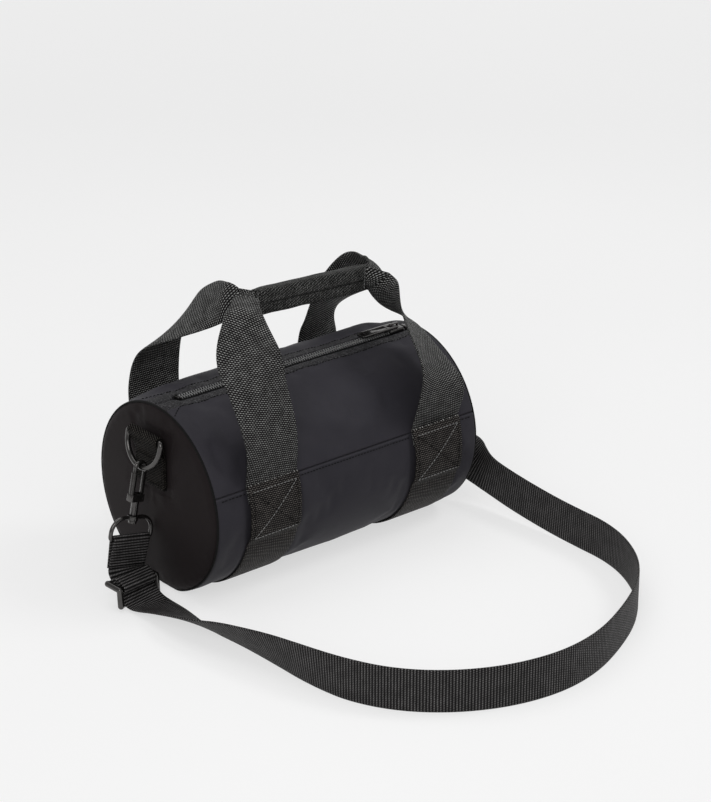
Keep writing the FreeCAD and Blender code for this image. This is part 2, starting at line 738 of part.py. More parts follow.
def make_floor_run():
    """The strap on its edge: straight runs joined by tangent arcs, offset to both faces and raised."""
    points = [Vector(x, y, strap_floor_gap) for x, y in floor_route]
    radii = [0.0]
    for i in range(1, len(points) - 1):
        back = points[i - 1] - points[i]
        ahead = points[i + 1] - points[i]
        turn = math.pi - back.getAngle(ahead)
        radii.append(arc_share * min(back.Length, ahead.Length) / math.tan(turn / 2))
    radii.append(0.0)
    edges = rounded_path(points, radii, False)
    print("strap on the floor, length", round(sum(edge.Length for edge in edges), 1))
    sides = {1: [], -1: []}
    for edge in edges:
        spots = [edge.FirstParameter, (edge.FirstParameter + edge.LastParameter) / 2, edge.LastParameter]
        for side in (1, -1):
            moved = []
            for spot in spots:
                square = edge.tangentAt(spot).cross(AXIS_Z) * (side * strap_thickness / 2)
                moved.append(edge.valueAt(spot) + square)
            if isinstance(edge.Curve, Part.Line):
                curve = Part.LineSegment(moved[0], moved[2])
            else:
                curve = Part.Arc(moved[0], moved[1], moved[2])
            sides[side].append(curve.toShape())
    starts = [sides[s][0].valueAt(sides[s][0].FirstParameter) for s in (1, -1)]
    ends = [sides[s][-1].valueAt(sides[s][-1].LastParameter) for s in (1, -1)]
    caps = [Part.LineSegment(starts[0], starts[1]).toShape(), Part.LineSegment(ends[0], ends[1]).toShape()]
    outline = Part.Wire(Part.__sortEdges__(sides[1] + sides[-1] + caps))
    nodes["strap_floor_run"] = Part.Face(outline).extrude(Vector(0, 0, strap_width))


def twisted_stations(route, outward):
    stations = []
    for x, y, z, turn in smooth(route, route_steps):
        angle = math.radians(turn)
        half = Vector(outward * math.cos(angle), 0, math.sin(angle)) * (strap_width / 2)
        stations.append((Vector(x, y, z), half, 1.0))
    return stations


def make_right_end():
    bar = eye_bar_middle
    nodes["right_strap_loop"] = webbing_loop(bar, eye_wire_radius, -AXIS_Y, hung_down, strap_width,
                                             right_loop_length, strap_thickness)
    first = Vector(bar.x, -right_loop_length - run_gap, bar.z)
    stations = [(first, hung_out * (strap_width / 2), 1.0)] + twisted_stations(right_turn_route, 1)
    nodes["strap_right_turn"] = ribbon(stations, strap_thickness / 2)
    nodes["strap_right_rise"] = ribbon(twisted_stations(right_rise_route, 1), strap_thickness / 2)


def make_left_end():
    loop = webbing_loop(eye_bar_middle, eye_wire_radius, hung_down, AXIS_Y, strap_width, left_loop_length,
                        strap_thickness)
    nodes["left_strap_loop"] = mirrored(loop)
    end = eye_bar_middle + hung_down * (left_loop_length + 2 * strap_thickness + run_gap)
    start = Vector(-end.x, -strap_thickness / 2, end.z)
    landing = Vector(*left_drop_route[0][:3])
    slope = (landing - start).normalize()
    width = Vector(-hung_out.x, 0, hung_out.z)
    width = (width - slope * width.dot(slope)).normalize()
    half = width * (strap_width / 2)
    stations = [(start, half, 1.0), (landing, half, 1.0)] + twisted_stations(left_drop_route, -1)[1:]
    nodes["strap_left_drop"] = ribbon(stations, strap_thickness / 2)
    nodes["strap_left_twist"] = ribbon(twisted_stations(left_twist_route, -1), strap_thickness / 2)
    make_adjuster(start, slope, width)


def make_adjuster(start, slope, width):
    """Bent rails beside the strap, with two end bars under it and a middle bar over it for the sewn tail."""
    up = width.cross(slope).normalize()
    if up.z < 0:
        up = up * -1
    centre = start + slope * adjuster_distance
    reach = strap_width / 2 + run_gap + adjuster_rail_radius

    def bar(along, rise):
        middle = centre + slope * along + up * rise
        return rod(middle - width * reach, middle + width * reach, adjuster_bar_radius)

    pieces = [bar(-adjuster_half_length, -adjuster_end_drop), bar(adjuster_half_length, -adjuster_end_drop)]
    pieces.append(bar(0, adjuster_mid_rise))
    for side in (1, -1):
        middle = centre + width * (side * reach)
        outline = [middle - slope * adjuster_half_length - up * adjuster_end_drop,
                   middle + up * adjuster_mid_rise,
                   middle + slope * adjuster_half_length - up * adjuster_end_drop]
        pieces += [rod(here, there, adjuster_rail_radius) for here, there in zip(outline, outline[1:])]
        pieces += [Part.makeSphere(adjuster_rail_radius, spot) for spot in outline]
    nodes["strap_adjuster"] = pieces[0].fuse(pieces[1:]).removeSplitter()
    tail = webbing_loop(centre + up * adjuster_mid_rise, adjuster_bar_radius, slope * -1, up, strap_width,
                        tail_loop_length, strap_thickness)
    nodes["strap_tail"] = tail


make_cover()
make_ends()
make_zip()
make_slider()
make_pull()
make_girth("left_girth_webbing", girth_left_x)
make_girth("right_girth_webbing", girth_right_x)
make_handle("front_handle_webbing", -1, front_left_leg_shares, -1, front_right_leg_shares)
make_handle("back_handle_webbing", 1, back_left_leg_shares, 1, back_right_leg_shares)
make_grip()
make_tab()
make_ring()
make_hook()
make_eye()
make_floor_run()
make_right_end()
make_left_end()

os.makedirs("parts", exist_ok=True)
for name, shape in nodes.items():
    shape.exportStep("parts/" + name + ".step")
print(len(nodes), "nodes")
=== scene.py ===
import json
from math import acos, asin, atan2, copysign, cos, exp, hypot, pi, radians, sin, sqrt
import bpy
from mathutils import Vector, noise

# A small barrel bag with webbing handles and a clip-on shoulder strap. Metres, X along the barrel,
# +Y away from the front, +Z up.
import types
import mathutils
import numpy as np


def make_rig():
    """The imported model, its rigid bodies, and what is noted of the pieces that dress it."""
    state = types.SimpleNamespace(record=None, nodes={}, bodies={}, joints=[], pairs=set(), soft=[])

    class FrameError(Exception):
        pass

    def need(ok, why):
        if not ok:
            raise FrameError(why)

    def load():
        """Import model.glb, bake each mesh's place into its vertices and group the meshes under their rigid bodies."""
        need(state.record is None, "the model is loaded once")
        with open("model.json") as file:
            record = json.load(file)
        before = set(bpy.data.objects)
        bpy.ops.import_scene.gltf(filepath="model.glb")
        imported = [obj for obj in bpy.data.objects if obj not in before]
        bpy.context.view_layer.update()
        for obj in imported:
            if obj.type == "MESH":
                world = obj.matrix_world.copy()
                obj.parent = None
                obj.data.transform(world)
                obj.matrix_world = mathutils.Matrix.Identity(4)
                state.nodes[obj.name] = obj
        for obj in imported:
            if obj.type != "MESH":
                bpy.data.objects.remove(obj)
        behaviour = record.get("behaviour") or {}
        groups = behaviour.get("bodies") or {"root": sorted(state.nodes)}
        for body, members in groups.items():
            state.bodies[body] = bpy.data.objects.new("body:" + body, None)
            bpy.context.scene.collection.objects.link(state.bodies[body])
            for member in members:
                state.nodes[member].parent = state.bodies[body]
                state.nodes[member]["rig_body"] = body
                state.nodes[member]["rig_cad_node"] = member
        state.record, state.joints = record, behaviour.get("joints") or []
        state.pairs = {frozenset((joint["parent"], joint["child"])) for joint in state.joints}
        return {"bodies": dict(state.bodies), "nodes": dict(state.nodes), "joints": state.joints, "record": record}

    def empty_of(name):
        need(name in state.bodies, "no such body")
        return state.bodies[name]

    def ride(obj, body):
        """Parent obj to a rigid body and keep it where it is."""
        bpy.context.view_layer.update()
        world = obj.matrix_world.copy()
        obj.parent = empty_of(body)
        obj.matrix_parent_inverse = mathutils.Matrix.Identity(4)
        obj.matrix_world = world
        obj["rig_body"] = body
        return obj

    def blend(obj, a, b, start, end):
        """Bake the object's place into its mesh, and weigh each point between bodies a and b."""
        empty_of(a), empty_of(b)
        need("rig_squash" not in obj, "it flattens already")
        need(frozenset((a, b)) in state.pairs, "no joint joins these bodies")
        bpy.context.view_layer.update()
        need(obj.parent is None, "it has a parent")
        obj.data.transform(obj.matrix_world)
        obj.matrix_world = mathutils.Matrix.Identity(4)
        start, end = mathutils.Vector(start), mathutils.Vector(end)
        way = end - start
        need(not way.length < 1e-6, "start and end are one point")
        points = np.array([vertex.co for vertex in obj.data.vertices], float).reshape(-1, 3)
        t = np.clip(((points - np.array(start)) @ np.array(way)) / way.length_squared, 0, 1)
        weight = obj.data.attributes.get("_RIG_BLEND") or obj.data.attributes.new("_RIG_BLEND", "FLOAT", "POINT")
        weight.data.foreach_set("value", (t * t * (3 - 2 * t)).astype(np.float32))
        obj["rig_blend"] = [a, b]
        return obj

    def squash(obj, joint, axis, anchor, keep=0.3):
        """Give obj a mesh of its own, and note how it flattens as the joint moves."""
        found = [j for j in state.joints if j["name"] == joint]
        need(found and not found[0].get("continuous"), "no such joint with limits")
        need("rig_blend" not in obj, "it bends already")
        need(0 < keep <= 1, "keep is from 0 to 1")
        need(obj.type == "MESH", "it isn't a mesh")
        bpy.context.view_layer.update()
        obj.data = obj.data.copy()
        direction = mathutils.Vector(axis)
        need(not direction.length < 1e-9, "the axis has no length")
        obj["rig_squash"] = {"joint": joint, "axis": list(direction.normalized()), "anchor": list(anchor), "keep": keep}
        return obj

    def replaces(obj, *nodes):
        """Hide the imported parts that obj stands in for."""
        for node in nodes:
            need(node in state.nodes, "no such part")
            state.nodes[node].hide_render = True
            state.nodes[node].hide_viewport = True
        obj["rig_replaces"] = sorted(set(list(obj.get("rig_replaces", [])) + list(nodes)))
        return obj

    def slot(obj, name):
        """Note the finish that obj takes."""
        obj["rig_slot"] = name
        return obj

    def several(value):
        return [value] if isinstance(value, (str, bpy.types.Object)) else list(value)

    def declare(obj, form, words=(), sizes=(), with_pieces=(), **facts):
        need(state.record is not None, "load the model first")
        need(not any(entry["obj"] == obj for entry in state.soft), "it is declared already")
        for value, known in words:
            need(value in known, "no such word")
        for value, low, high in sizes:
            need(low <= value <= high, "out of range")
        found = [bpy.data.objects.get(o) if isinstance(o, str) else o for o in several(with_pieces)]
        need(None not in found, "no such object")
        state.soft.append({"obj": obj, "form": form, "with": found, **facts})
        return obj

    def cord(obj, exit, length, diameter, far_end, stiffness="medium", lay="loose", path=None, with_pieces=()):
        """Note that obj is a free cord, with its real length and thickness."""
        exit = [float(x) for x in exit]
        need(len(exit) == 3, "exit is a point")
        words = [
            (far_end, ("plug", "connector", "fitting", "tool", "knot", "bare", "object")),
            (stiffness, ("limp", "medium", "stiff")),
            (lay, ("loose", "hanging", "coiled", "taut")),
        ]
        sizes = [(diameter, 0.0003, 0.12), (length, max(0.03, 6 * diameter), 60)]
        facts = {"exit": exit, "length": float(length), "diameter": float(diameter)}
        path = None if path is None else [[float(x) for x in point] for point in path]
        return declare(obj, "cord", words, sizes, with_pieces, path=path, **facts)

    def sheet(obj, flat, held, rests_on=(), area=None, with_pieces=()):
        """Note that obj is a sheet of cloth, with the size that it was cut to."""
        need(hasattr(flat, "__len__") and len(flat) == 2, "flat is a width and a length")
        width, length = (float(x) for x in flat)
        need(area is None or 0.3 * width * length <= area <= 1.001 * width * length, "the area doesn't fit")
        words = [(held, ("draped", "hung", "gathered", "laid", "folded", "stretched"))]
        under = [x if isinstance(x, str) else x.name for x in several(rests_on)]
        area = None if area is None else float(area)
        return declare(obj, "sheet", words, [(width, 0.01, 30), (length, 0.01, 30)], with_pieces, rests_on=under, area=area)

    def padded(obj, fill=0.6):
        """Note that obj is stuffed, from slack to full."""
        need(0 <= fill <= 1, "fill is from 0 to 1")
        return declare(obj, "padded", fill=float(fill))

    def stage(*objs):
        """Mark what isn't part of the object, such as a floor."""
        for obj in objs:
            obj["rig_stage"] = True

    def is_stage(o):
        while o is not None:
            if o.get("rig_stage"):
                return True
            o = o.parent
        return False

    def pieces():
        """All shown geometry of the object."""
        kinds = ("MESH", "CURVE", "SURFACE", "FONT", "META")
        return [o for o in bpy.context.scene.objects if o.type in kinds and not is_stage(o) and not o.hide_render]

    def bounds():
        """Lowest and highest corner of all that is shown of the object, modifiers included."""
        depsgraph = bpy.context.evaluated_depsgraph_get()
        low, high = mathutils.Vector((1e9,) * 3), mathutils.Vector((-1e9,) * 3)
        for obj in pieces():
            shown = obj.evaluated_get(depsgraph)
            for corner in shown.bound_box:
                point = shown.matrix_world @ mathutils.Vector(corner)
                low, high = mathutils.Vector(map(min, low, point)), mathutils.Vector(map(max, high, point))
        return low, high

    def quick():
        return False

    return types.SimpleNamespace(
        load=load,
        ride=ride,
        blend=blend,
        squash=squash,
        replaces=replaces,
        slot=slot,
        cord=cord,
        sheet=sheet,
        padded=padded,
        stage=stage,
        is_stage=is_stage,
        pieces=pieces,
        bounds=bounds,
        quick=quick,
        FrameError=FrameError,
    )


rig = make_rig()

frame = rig.load()
cad_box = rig.bounds()
nodes = frame["nodes"]

# Barrel
BARREL_RADIUS = 0.080
AXIS_HEIGHT = 0.0785
HALF_LENGTH = 0.137
BASE_HEIGHT = 0.0019
BASE_CORNER = 0.024
SEAM_HEIGHT = 0.1025
PANEL_END = 0.1347
PANEL_THICKNESS = 0.0011
END_BULGE = 0.004
PIPING_RADIUS = 0.0011
ZIP_SLOT_HALF = 0.0054
GIRTHS = {"left": -0.081, "right": 0.091}
HANDLE_WIDTH = 0.050
BOX_TOP = 0.1045
BOX_BOTTOM = 0.0585
LAY_GAP = 0.0001
SIDES = {"left": -1, "right": 1}
MM = 1000                    # millimetres in a metre

corner_z = BASE_HEIGHT + BASE_CORNER
corner_reach = BARREL_RADIUS - BASE_CORNER
corner_drop = AXIS_HEIGHT - corner_z
corner_y = sqrt(corner_reach ** 2 - corner_drop ** 2)
corner_turn = atan2(corner_y, corner_drop)
arc_length = BARREL_RADIUS * (pi - corner_turn)
corner_length = BASE_CORNER * corner_turn
HALF_ROUND = arc_length + corner_length + corner_y
ROUND = 2 * HALF_ROUND


def section(s):
    """Outline of the barrel s metres round from the top, + to the back: y, z and the outward normal."""
    if abs(s) > HALF_ROUND:
        s -= copysign(ROUND, s)
    side = copysign(1, s)
    d = abs(s)
    if d <= arc_length:
        ny = sin(d / BARREL_RADIUS)
        nz = cos(d / BARREL_RADIUS)
        return side * BARREL_RADIUS * ny, AXIS_HEIGHT + BARREL_RADIUS * nz, side * ny, nz
    d -= arc_length
    if d <= corner_length:
        angle = pi - corner_turn + d / BASE_CORNER
        ny = sin(angle)
        nz = cos(angle)
        return side * (corner_y + BASE_CORNER * ny), corner_z + BASE_CORNER * nz, side * ny, nz
    return side * (corner_y - d + corner_length), BASE_HEIGHT, 0, -1


def on_barrel(x, s, lift):
    y, z, ny, nz = section(s)
    return Vector((x, y + ny * lift, z + nz * lift))


def barrel_normal(s):
    ny, nz = section(s)[2:]
    return Vector((0, ny, nz))


def round_at(height):
    """How far round from the top the barrel has that height, on its upper arc."""
    return BARREL_RADIUS * acos((height - AXIS_HEIGHT) / BARREL_RADIUS)


ZIP_EDGE = BARREL_RADIUS * asin(ZIP_SLOT_HALF / BARREL_RADIUS)
SEAM_ROUND = round_at(SEAM_HEIGHT)


def ease(t):
    t = min(1, max(0, t))
    return t * t * (3 - 2 * t)


def bell(d, width):
    return exp(-(d / width) ** 2)


# Materials

THREADS = 5200               # pitch of the smooth cloths' threads, in radians to the metre


class Shader:
    """One procedural material, built node by node."""

    def __init__(self, name):
        self.material = bpy.data.materials.new(name)
        self.material.use_nodes = True
        self.tree = self.material.node_tree
        self.surface = self.tree.nodes["Principled BSDF"]

    def put(self, socket, value):
        if isinstance(value, bpy.types.NodeSocket):
            self.tree.links.new(value, socket)
        else:
            socket.default_value = value

    def fill(self, made, values):
        for name, value in values.items():
            self.put(made.inputs[name.replace("_", " ")], value)

    def set(self, **values):
        self.fill(self.surface, values)

    def node(self, kind, **values):
        made = self.tree.nodes.new("ShaderNode" + kind)
        self.fill(made, values)
        return made

    def math(self, operation, *values):
        made = self.node("Math")
        made.operation = operation
        for socket, value in zip(made.inputs, values):
            self.put(socket, value)
        return made.outputs[0]

    def add(self, first, second):
        return self.math("ADD", first, second)

    def times(self, first, second):
        return self.math("MULTIPLY", first, second)

    def arch(self, way):
        """Rises and falls once in each whole step of the way."""
        return self.math("SINE", self.times(self.math("FRACT", way), pi))

    def place(self):
        """Coordinates in the object's own frame."""
        return self.node("TexCoord").outputs["Object"]

    def weave(self):
        """Millimetres across and along a piece of webbing."""
        layer = self.node("Attribute")
        layer.attribute_name = "weave"
        split = self.node("SeparateXYZ", Vector=layer.outputs["Vector"])
        return split.outputs[0], split.outputs[1]

    def noise(self, scale, detail):
        return self.node("TexNoise", Vector=self.place(), Scale=scale, Detail=detail).outputs["Fac"]

    def cells(self, scale):
        return self.node("TexVoronoi", Vector=self.place(), Scale=scale).outputs["Distance"]

    def ramp(self, factor, *stops):
        made = self.node("ValToRGB", Fac=factor)
        elements = made.color_ramp.elements
        while len(elements) < len(stops):
            elements.new(0.5)
        for element, (place, colour) in zip(elements, stops):
            element.position = place
            element.color = (*colour, 1)
        return made.outputs[0]

    def mix(self, factor, first, second):
        made = self.node("Mix", Factor=factor)
        made.data_type = "RGBA"
        self.put(made.inputs[6], first)
        self.put(made.inputs[7], second)
        return made.outputs[2]

    def spread(self, factor, low, high):
        """The factor's range 0 to 1 mapped to low to high."""
        return self.node("MapRange", Value=factor, To_Min=low, To_Max=high).outputs[0]

    def finish(self, rough, height, strength, depth, **others):
        """Roughness from a factor, a low and a high value, bumps from a height, and other values by name."""
        bumps = self.node("Bump", Height=height, Strength=strength, Distance=depth)
        self.set(Roughness=self.spread(*rough), Normal=bumps.outputs[0], **others)
        return self.material


def grey(level):
    return level, level, level


def nylon(name, dark, light, roughness, sheen, gloss, band=None):
    """Smooth closely woven cloth: fine crossed threads, soft clouding of the colour, a faint sheen.
    Where a piece's weave layer says so it turns into a coarser lumpy band, given by its two colours, which rise with
    the lumps' height: painted shade in the hollows and painted light on the tops."""
    shader = Shader(name)
    x, y, z = shader.node("SeparateXYZ", Vector=shader.place()).outputs
    wave_x = shader.math("SINE", shader.times(x, THREADS))
    wave_z = shader.math("SINE", shader.times(shader.add(y, z), THREADS))
    threads = shader.times(wave_x, wave_z)
    cloud = shader.noise(30, 4)
    grain = shader.noise(900, 3)
    tone = shader.add(shader.times(cloud, 0.65), shader.times(grain, 0.35))
    colour = shader.ramp(tone, (0.3, dark), (0.72, light))
    height = shader.add(shader.times(threads, 0.5), grain)
    if band:
        share = shader.weave()[0]
        lumps = shader.times(shader.cells(800), shader.spread(shader.noise(1100, 2), 0.3, 1.5))
        # The band's colour follows the lumps' height: painted shade in their hollows and painted light on their tops.
        colour = shader.mix(share, colour, shader.ramp(lumps, (0.25, band[0]), (0.85, band[1])))
        height = shader.add(height, shader.times(shader.times(share, lumps), 2.5))
    return shader.finish((grain, roughness - 0.08, roughness + 0.1), height, 0.35, 0.00015, Base_Color=colour,
                         Sheen_Weight=sheen, Sheen_Roughness=0.45, Specular_IOR_Level=gloss)


def raised_yarns(shader, height, stops, colours, patches, polish, gloss, strength, depth):
    """Finishes a weave whose yarns are smoother than the gaps between them; its colour is painted light and shade, a
    glint on each yarn crest and shade in the gaps, in patches.
    """
    dark, light = colours
    middle = tuple((4 * d + l) / 5 for d, l in zip(dark, light))
    # Painted glints on the yarn crests and painted shade in the gaps, brighter in some patches than in others.
    painted_glint_and_shade = shader.times(height, shader.spread(shader.noise(patches, 2), 0.75, 1.2))
    colour = shader.ramp(painted_glint_and_shade, *zip(stops, (dark, middle, light)))
    return shader.finish((height, 0.75, polish), height, strength, depth, Base_Color=colour, Specular_IOR_Level=gloss)


def twill(name, row, dash, slant, wander, dark, light, gloss):
    """Webbing whose yarns show as short dashes in slanting rows; row and dash are pitches in millimetres."""
    shader = Shader(name)
    across, along = shader.weave()
    jitter = shader.times(shader.noise(420, 1), wander)
    rise = shader.add(along, shader.times(across, slant))
    way = shader.add(shader.math("DIVIDE", rise, row), jitter)
    lane = shader.add(shader.math("DIVIDE", across, dash), shader.times(shader.math("FLOOR", way), -0.3))
    lane = shader.add(lane, jitter)
    height = shader.times(shader.math("POWER", shader.arch(way), 1.8), shader.math("POWER", shader.arch(lane), 0.4))
    return raised_yarns(shader, height, (0.42, 0.72, 0.98), (dark, light), 160, 0.4, gloss, 0.9, 0.0006)


def ribbed(name, rib, cross, dark, light):
    """Finer webbing with ribs across it, each a row of slanting yarns; sizes in millimetres."""
    shader = Shader(name)
    across, along = shader.weave()
    jitter = shader.noise(350, 1)
    way = shader.add(shader.math("DIVIDE", along, rib), shader.times(jitter, 0.15))
    lane = shader.add(shader.math("DIVIDE", across, cross), shader.times(way, 0.7))
    lane = shader.add(lane, shader.times(jitter, 0.3))
    height = shader.times(shader.math("POWER", shader.arch(way), 1.3), shader.spread(shader.arch(lane), 0.3, 1.0))
    return raised_yarns(shader, height, (0.3, 0.65, 0.95), (dark, light), 120, 0.45, 0.18, 0.7, 0.0004)


def spongy(name, dark, light, scale):
    """Foam with open cells, its colour darker where it lies lower: painted shade in the cells."""
    shader = Shader(name)
    walls = shader.math("SUBTRACT", 1, shader.cells(scale))
    height = shader.times(walls, shader.spread(shader.noise(scale * 1.4, 3), 0.2, 1.4))
    # Colour from height: painted shade down in the cells.
    colour = shader.ramp(height, (0.3, dark), (0.95, light))
    return shader.finish((height, 0.75, 0.45), height, 0.9, 0.0008, Base_Color=colour, Specular_IOR_Level=0.25)


def metal(name, colour, low, high):
    """Black plated metal with faint streaks in its gloss."""
    shader = Shader(name)
    smear = shader.noise(140, 4)
    plating = shader.ramp(smear, (0.3, tuple(c * 0.7 for c in colour)), (0.75, colour))
    return shader.finish((smear, low, high), shader.noise(900, 2), 0.06, 0.0002, Base_Color=plating, Metallic=0.9)


def glossy(name, dark, light, low, high, gloss):
    """Moulded plastic or waxed thread."""
    shader = Shader(name)
    tone = shader.noise(700, 2)
    colour = shader.ramp(tone, (0.3, dark), (0.7, light))
    return shader.finish((tone, low, high), tone, 0.15, 0.0001, Base_Color=colour, Specular_IOR_Level=gloss)


BODY_CLOTH = nylon("body_cloth", (0.0285, 0.0270, 0.0340), (0.0390, 0.0365, 0.0450), 0.62, 0.05, 0.16,
                   ((0.006, 0.006, 0.007), (0.075, 0.073, 0.078)))
END_CLOTH = nylon("end_cloth", (0.0125, 0.0092, 0.0097), (0.0176, 0.0134, 0.0140), 0.62, 0.03, 0.1)
LINING_CLOTH = nylon("lining_cloth", (0.016, 0.016, 0.018), (0.024, 0.024, 0.026), 0.7, 0.05, 0.18)
FOAM = spongy("foam", grey(0.03), grey(0.07), 900)
PIPING = glossy("piping_cord", grey(0.003), grey(0.006), 0.6, 0.8, 0.15)
# Each webbing's light colour is a painted glint on its yarn crests and its dark colour is painted shade in the gaps,
# set brighter or dimmer for each piece to how lit that piece is.
HANDLE_WEB = twill("handle_web", 1.75, 2.3, -0.5, 0.2, (0.0024, 0.0021, 0.0020), (0.46, 0.46, 0.45), 0.14)
# The girth is the handles' own webbing, painted darker with dimmer glints: painted shade.
SHADED_GIRTH_WEB = twill("girth_web", 1.75, 2.3, -0.5, 0.22, (0.0020, 0.0016, 0.0014), (0.22, 0.20, 0.185), 0.12)
# The hem's ribs are painted near white: a painted highlight along the folded edge of black webbing.
HEM_WEB_HIGHLIGHT = ribbed("hem_web_highlight", 2.3, 1.5, (0.0030, 0.0026, 0.0024), (0.75, 0.73, 0.71))
TAB_WEB = twill("tab_web", 1.6, 2.0, -0.45, 0.2, (0.0010, 0.0008, 0.0007), (0.10, 0.09, 0.08), 0.05)
STRAP_WEB = ribbed("strap_web", 2.4, 1.5, (0.0022, 0.0018, 0.0018), (0.24, 0.23, 0.23))
GRIP_WEB = twill("grip_web", 1.4, 1.6, 0.2, 0.9, (0.0018, 0.0018, 0.0017), (0.34, 0.34, 0.33), 0.12)
ZIP_CLOTH = ribbed("zip_cloth", 0.7, 0.9, (0.004, 0.004, 0.005), (0.016, 0.016, 0.018))
# The coil's mid grey is a painted glint on black coil teeth.
COIL_PAINTED_GLINT = glossy("coil", grey(0.11), grey(0.24), 0.16, 0.28, 0.9)
BLACK_NICKEL = metal("black_nickel", (0.100, 0.096, 0.094), 0.1, 0.2)
DARK_THREAD = glossy("dark_thread", grey(0.002), grey(0.005), 0.6, 0.8, 0.12)
GREY_THREAD = glossy("grey_thread", grey(0.24), grey(0.40), 0.45, 0.6, 0.4)


# Mesh makers


def add_object(name, data):
    made = bpy.data.objects.new(name, data)
    bpy.context.scene.collection.objects.link(made)
    return made


def add_mesh(name, points, faces, material, weave=None):
    mesh = bpy.data.meshes.new(name)
    mesh.from_pydata([tuple(p) for p in points], [], faces)
    mesh.update()
    mesh.materials.append(material)
    mesh.shade_smooth()
    if weave is not None:
        layer = mesh.attributes.new("weave", "FLOAT_VECTOR", "POINT")
        layer.data.foreach_set("vector", [c for u, v in weave for c in (u, v, 0)])
    return add_object(name, mesh)


def grid_faces(rows, columns, wrap_rows=False, wrap_columns=False):
    faces = []
    for i in range(rows if wrap_rows else rows - 1):
        for j in range(columns if wrap_columns else columns - 1):
            i2 = (i + 1) % rows
            j2 = (j + 1) % columns
            faces.append((i * columns + j, i2 * columns + j, i2 * columns + j2, i * columns + j2))
    return faces


def finish_piece(piece, body, slot, *stands_for):
    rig.ride(piece, body)
    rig.slot(piece, slot)
    if stands_for:
        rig.replaces(piece, *stands_for)
    return piece


def thicken(piece, thickness):
    """Gives a one-sided sheet its thickness, inwards."""
    solid = piece.modifiers.new("thickness", "SOLIDIFY")
    solid.thickness = thickness
    solid.offset = -1
    return piece


TOO_CLOSE = 0.00005


def spaced(start, end, step, extra=()):
    """Values from start to end about a step apart, with extra ones put in where they are wanted."""
    count = max(2, round((end - start) / step) + 1)
    values = [start + (end - start) * k / (count - 1) for k in range(count)]
    values += [v for v in extra if start < v < end]
    values.sort()
    kept = [values[0]]
    for value in values[1:]:
        if value - kept[-1] > TOO_CLOSE:
            kept.append(value)
    return kept


def catmull(rows, steps):
    """A smooth curve through rows of numbers, with steps pieces between two rows."""
    fine = []
    for i in range(len(rows) - 1):
        a = rows[max(i - 1, 0)]
        b = rows[i]
        c = rows[i + 1]
        d = rows[min(i + 2, len(rows) - 1)]
        for k in range(steps):
            t = k / steps
            fine.append([b[j] + t * (c[j] - a[j]) / 2 + t * t * (a[j] - 2.5 * b[j] + 2 * c[j] - d[j] / 2)
                         + t ** 3 * (1.5 * (b[j] - c[j]) + (d[j] - a[j]) / 2) for j in range(len(b))])
    fine.append(list(rows[-1]))
    return fine


def run_at(line, i):
    """Direction of a line of points at its point i."""
    return (line[min(i + 1, len(line) - 1)] - line[max(i - 1, 0)]).normalized()


def tube_faces(rows, columns, base=0):
    """Faces of a closed tube with flat ends, which come last."""
    last = (rows - 1) * columns
    faces = grid_faces(rows, columns, wrap_columns=True)
    faces += [tuple(range(columns)), tuple(last + k for k in reversed(range(columns)))]
    return [tuple(base + v for v in face) for face in faces]


BAND_ACROSS = 16
BAND_EDGE = 3
BAND_ROUND = 0.02            # how far the rounded edge stands out, as a share of the half width
THIN_SHARE = 0.06            # the outer share of the half width that thins towards the edge
THINNING = 0.25
LEAST_FOLD = 0.001


def band(name, stations, thickness, material, weave_start=0.0):
    """Webbing along stations of (centre, half width as a vector): a flat closed band with rounded edges.
    A station's third value, where it has one, bows the band across its width by that angle."""
    shape = []
    for face in (1, -1):
        shape += [(face * (1 - 2 * k / BAND_ACROSS), face) for k in range(BAND_ACROSS + 1)]
        for k in range(1, BAND_EDGE):
            angle = pi * k / BAND_EDGE
            shape.append((-face * (1 + sin(angle) * BAND_ROUND), face * cos(angle)))
    centres = [station[0] for station in stations]
    points = []
    weave = []
    travelled = weave_start
    for i, (centre, side, *bow) in enumerate(stations):
        if i:
            travelled += (centre - centres[i - 1]).length
        width = side.length
        side_unit = side.normalized()
        up = run_at(centres, i).cross(side_unit).normalized()
        for across, face in shape:
            edge = max(-1, min(1, across))
            thinned = 1 - THINNING * ease((abs(edge) - 1 + THIN_SHARE) / THIN_SHARE)
            spot, normal = folded(edge, width, bow[0] if bow else 0.0, side_unit, up)
            spot += side_unit * ((across - edge) * width)
            points.append(centre + spot + normal * (thickness / 2 * face * thinned))
            weave.append((across * width * MM * (1 if face > 0 else -1), travelled * MM))
    piece = add_mesh(name, points, tube_faces(len(stations), len(shape)), material, weave)
    piece.data.flip_normals()
    flat_ends(piece)
    return piece


def flat_ends(piece):
    for face in piece.data.polygons[-2:]:
        face.use_smooth = False


def folded(share, width, fold, side, up):
    """Where a point of the band lies across its width, and the band's normal there, once the band is
    bowed into a trough of that total angle with its chord kept at the width."""
    if abs(fold) < LEAST_FOLD:
        return side * (share * width), up.copy()
    radius = width / sin(min(abs(fold) / 2, pi / 2))
    angle = share * fold / 2
    spot = side * (radius * sin(abs(angle)) * copysign(1, share))
    depth = radius * (cos(angle) - cos(fold / 2)) * copysign(1, fold)
    tilt = sin(abs(angle)) * copysign(1, share) * copysign(1, fold)
    normal = up * cos(angle) + side * tilt
    return spot + up * depth, normal.normalized()


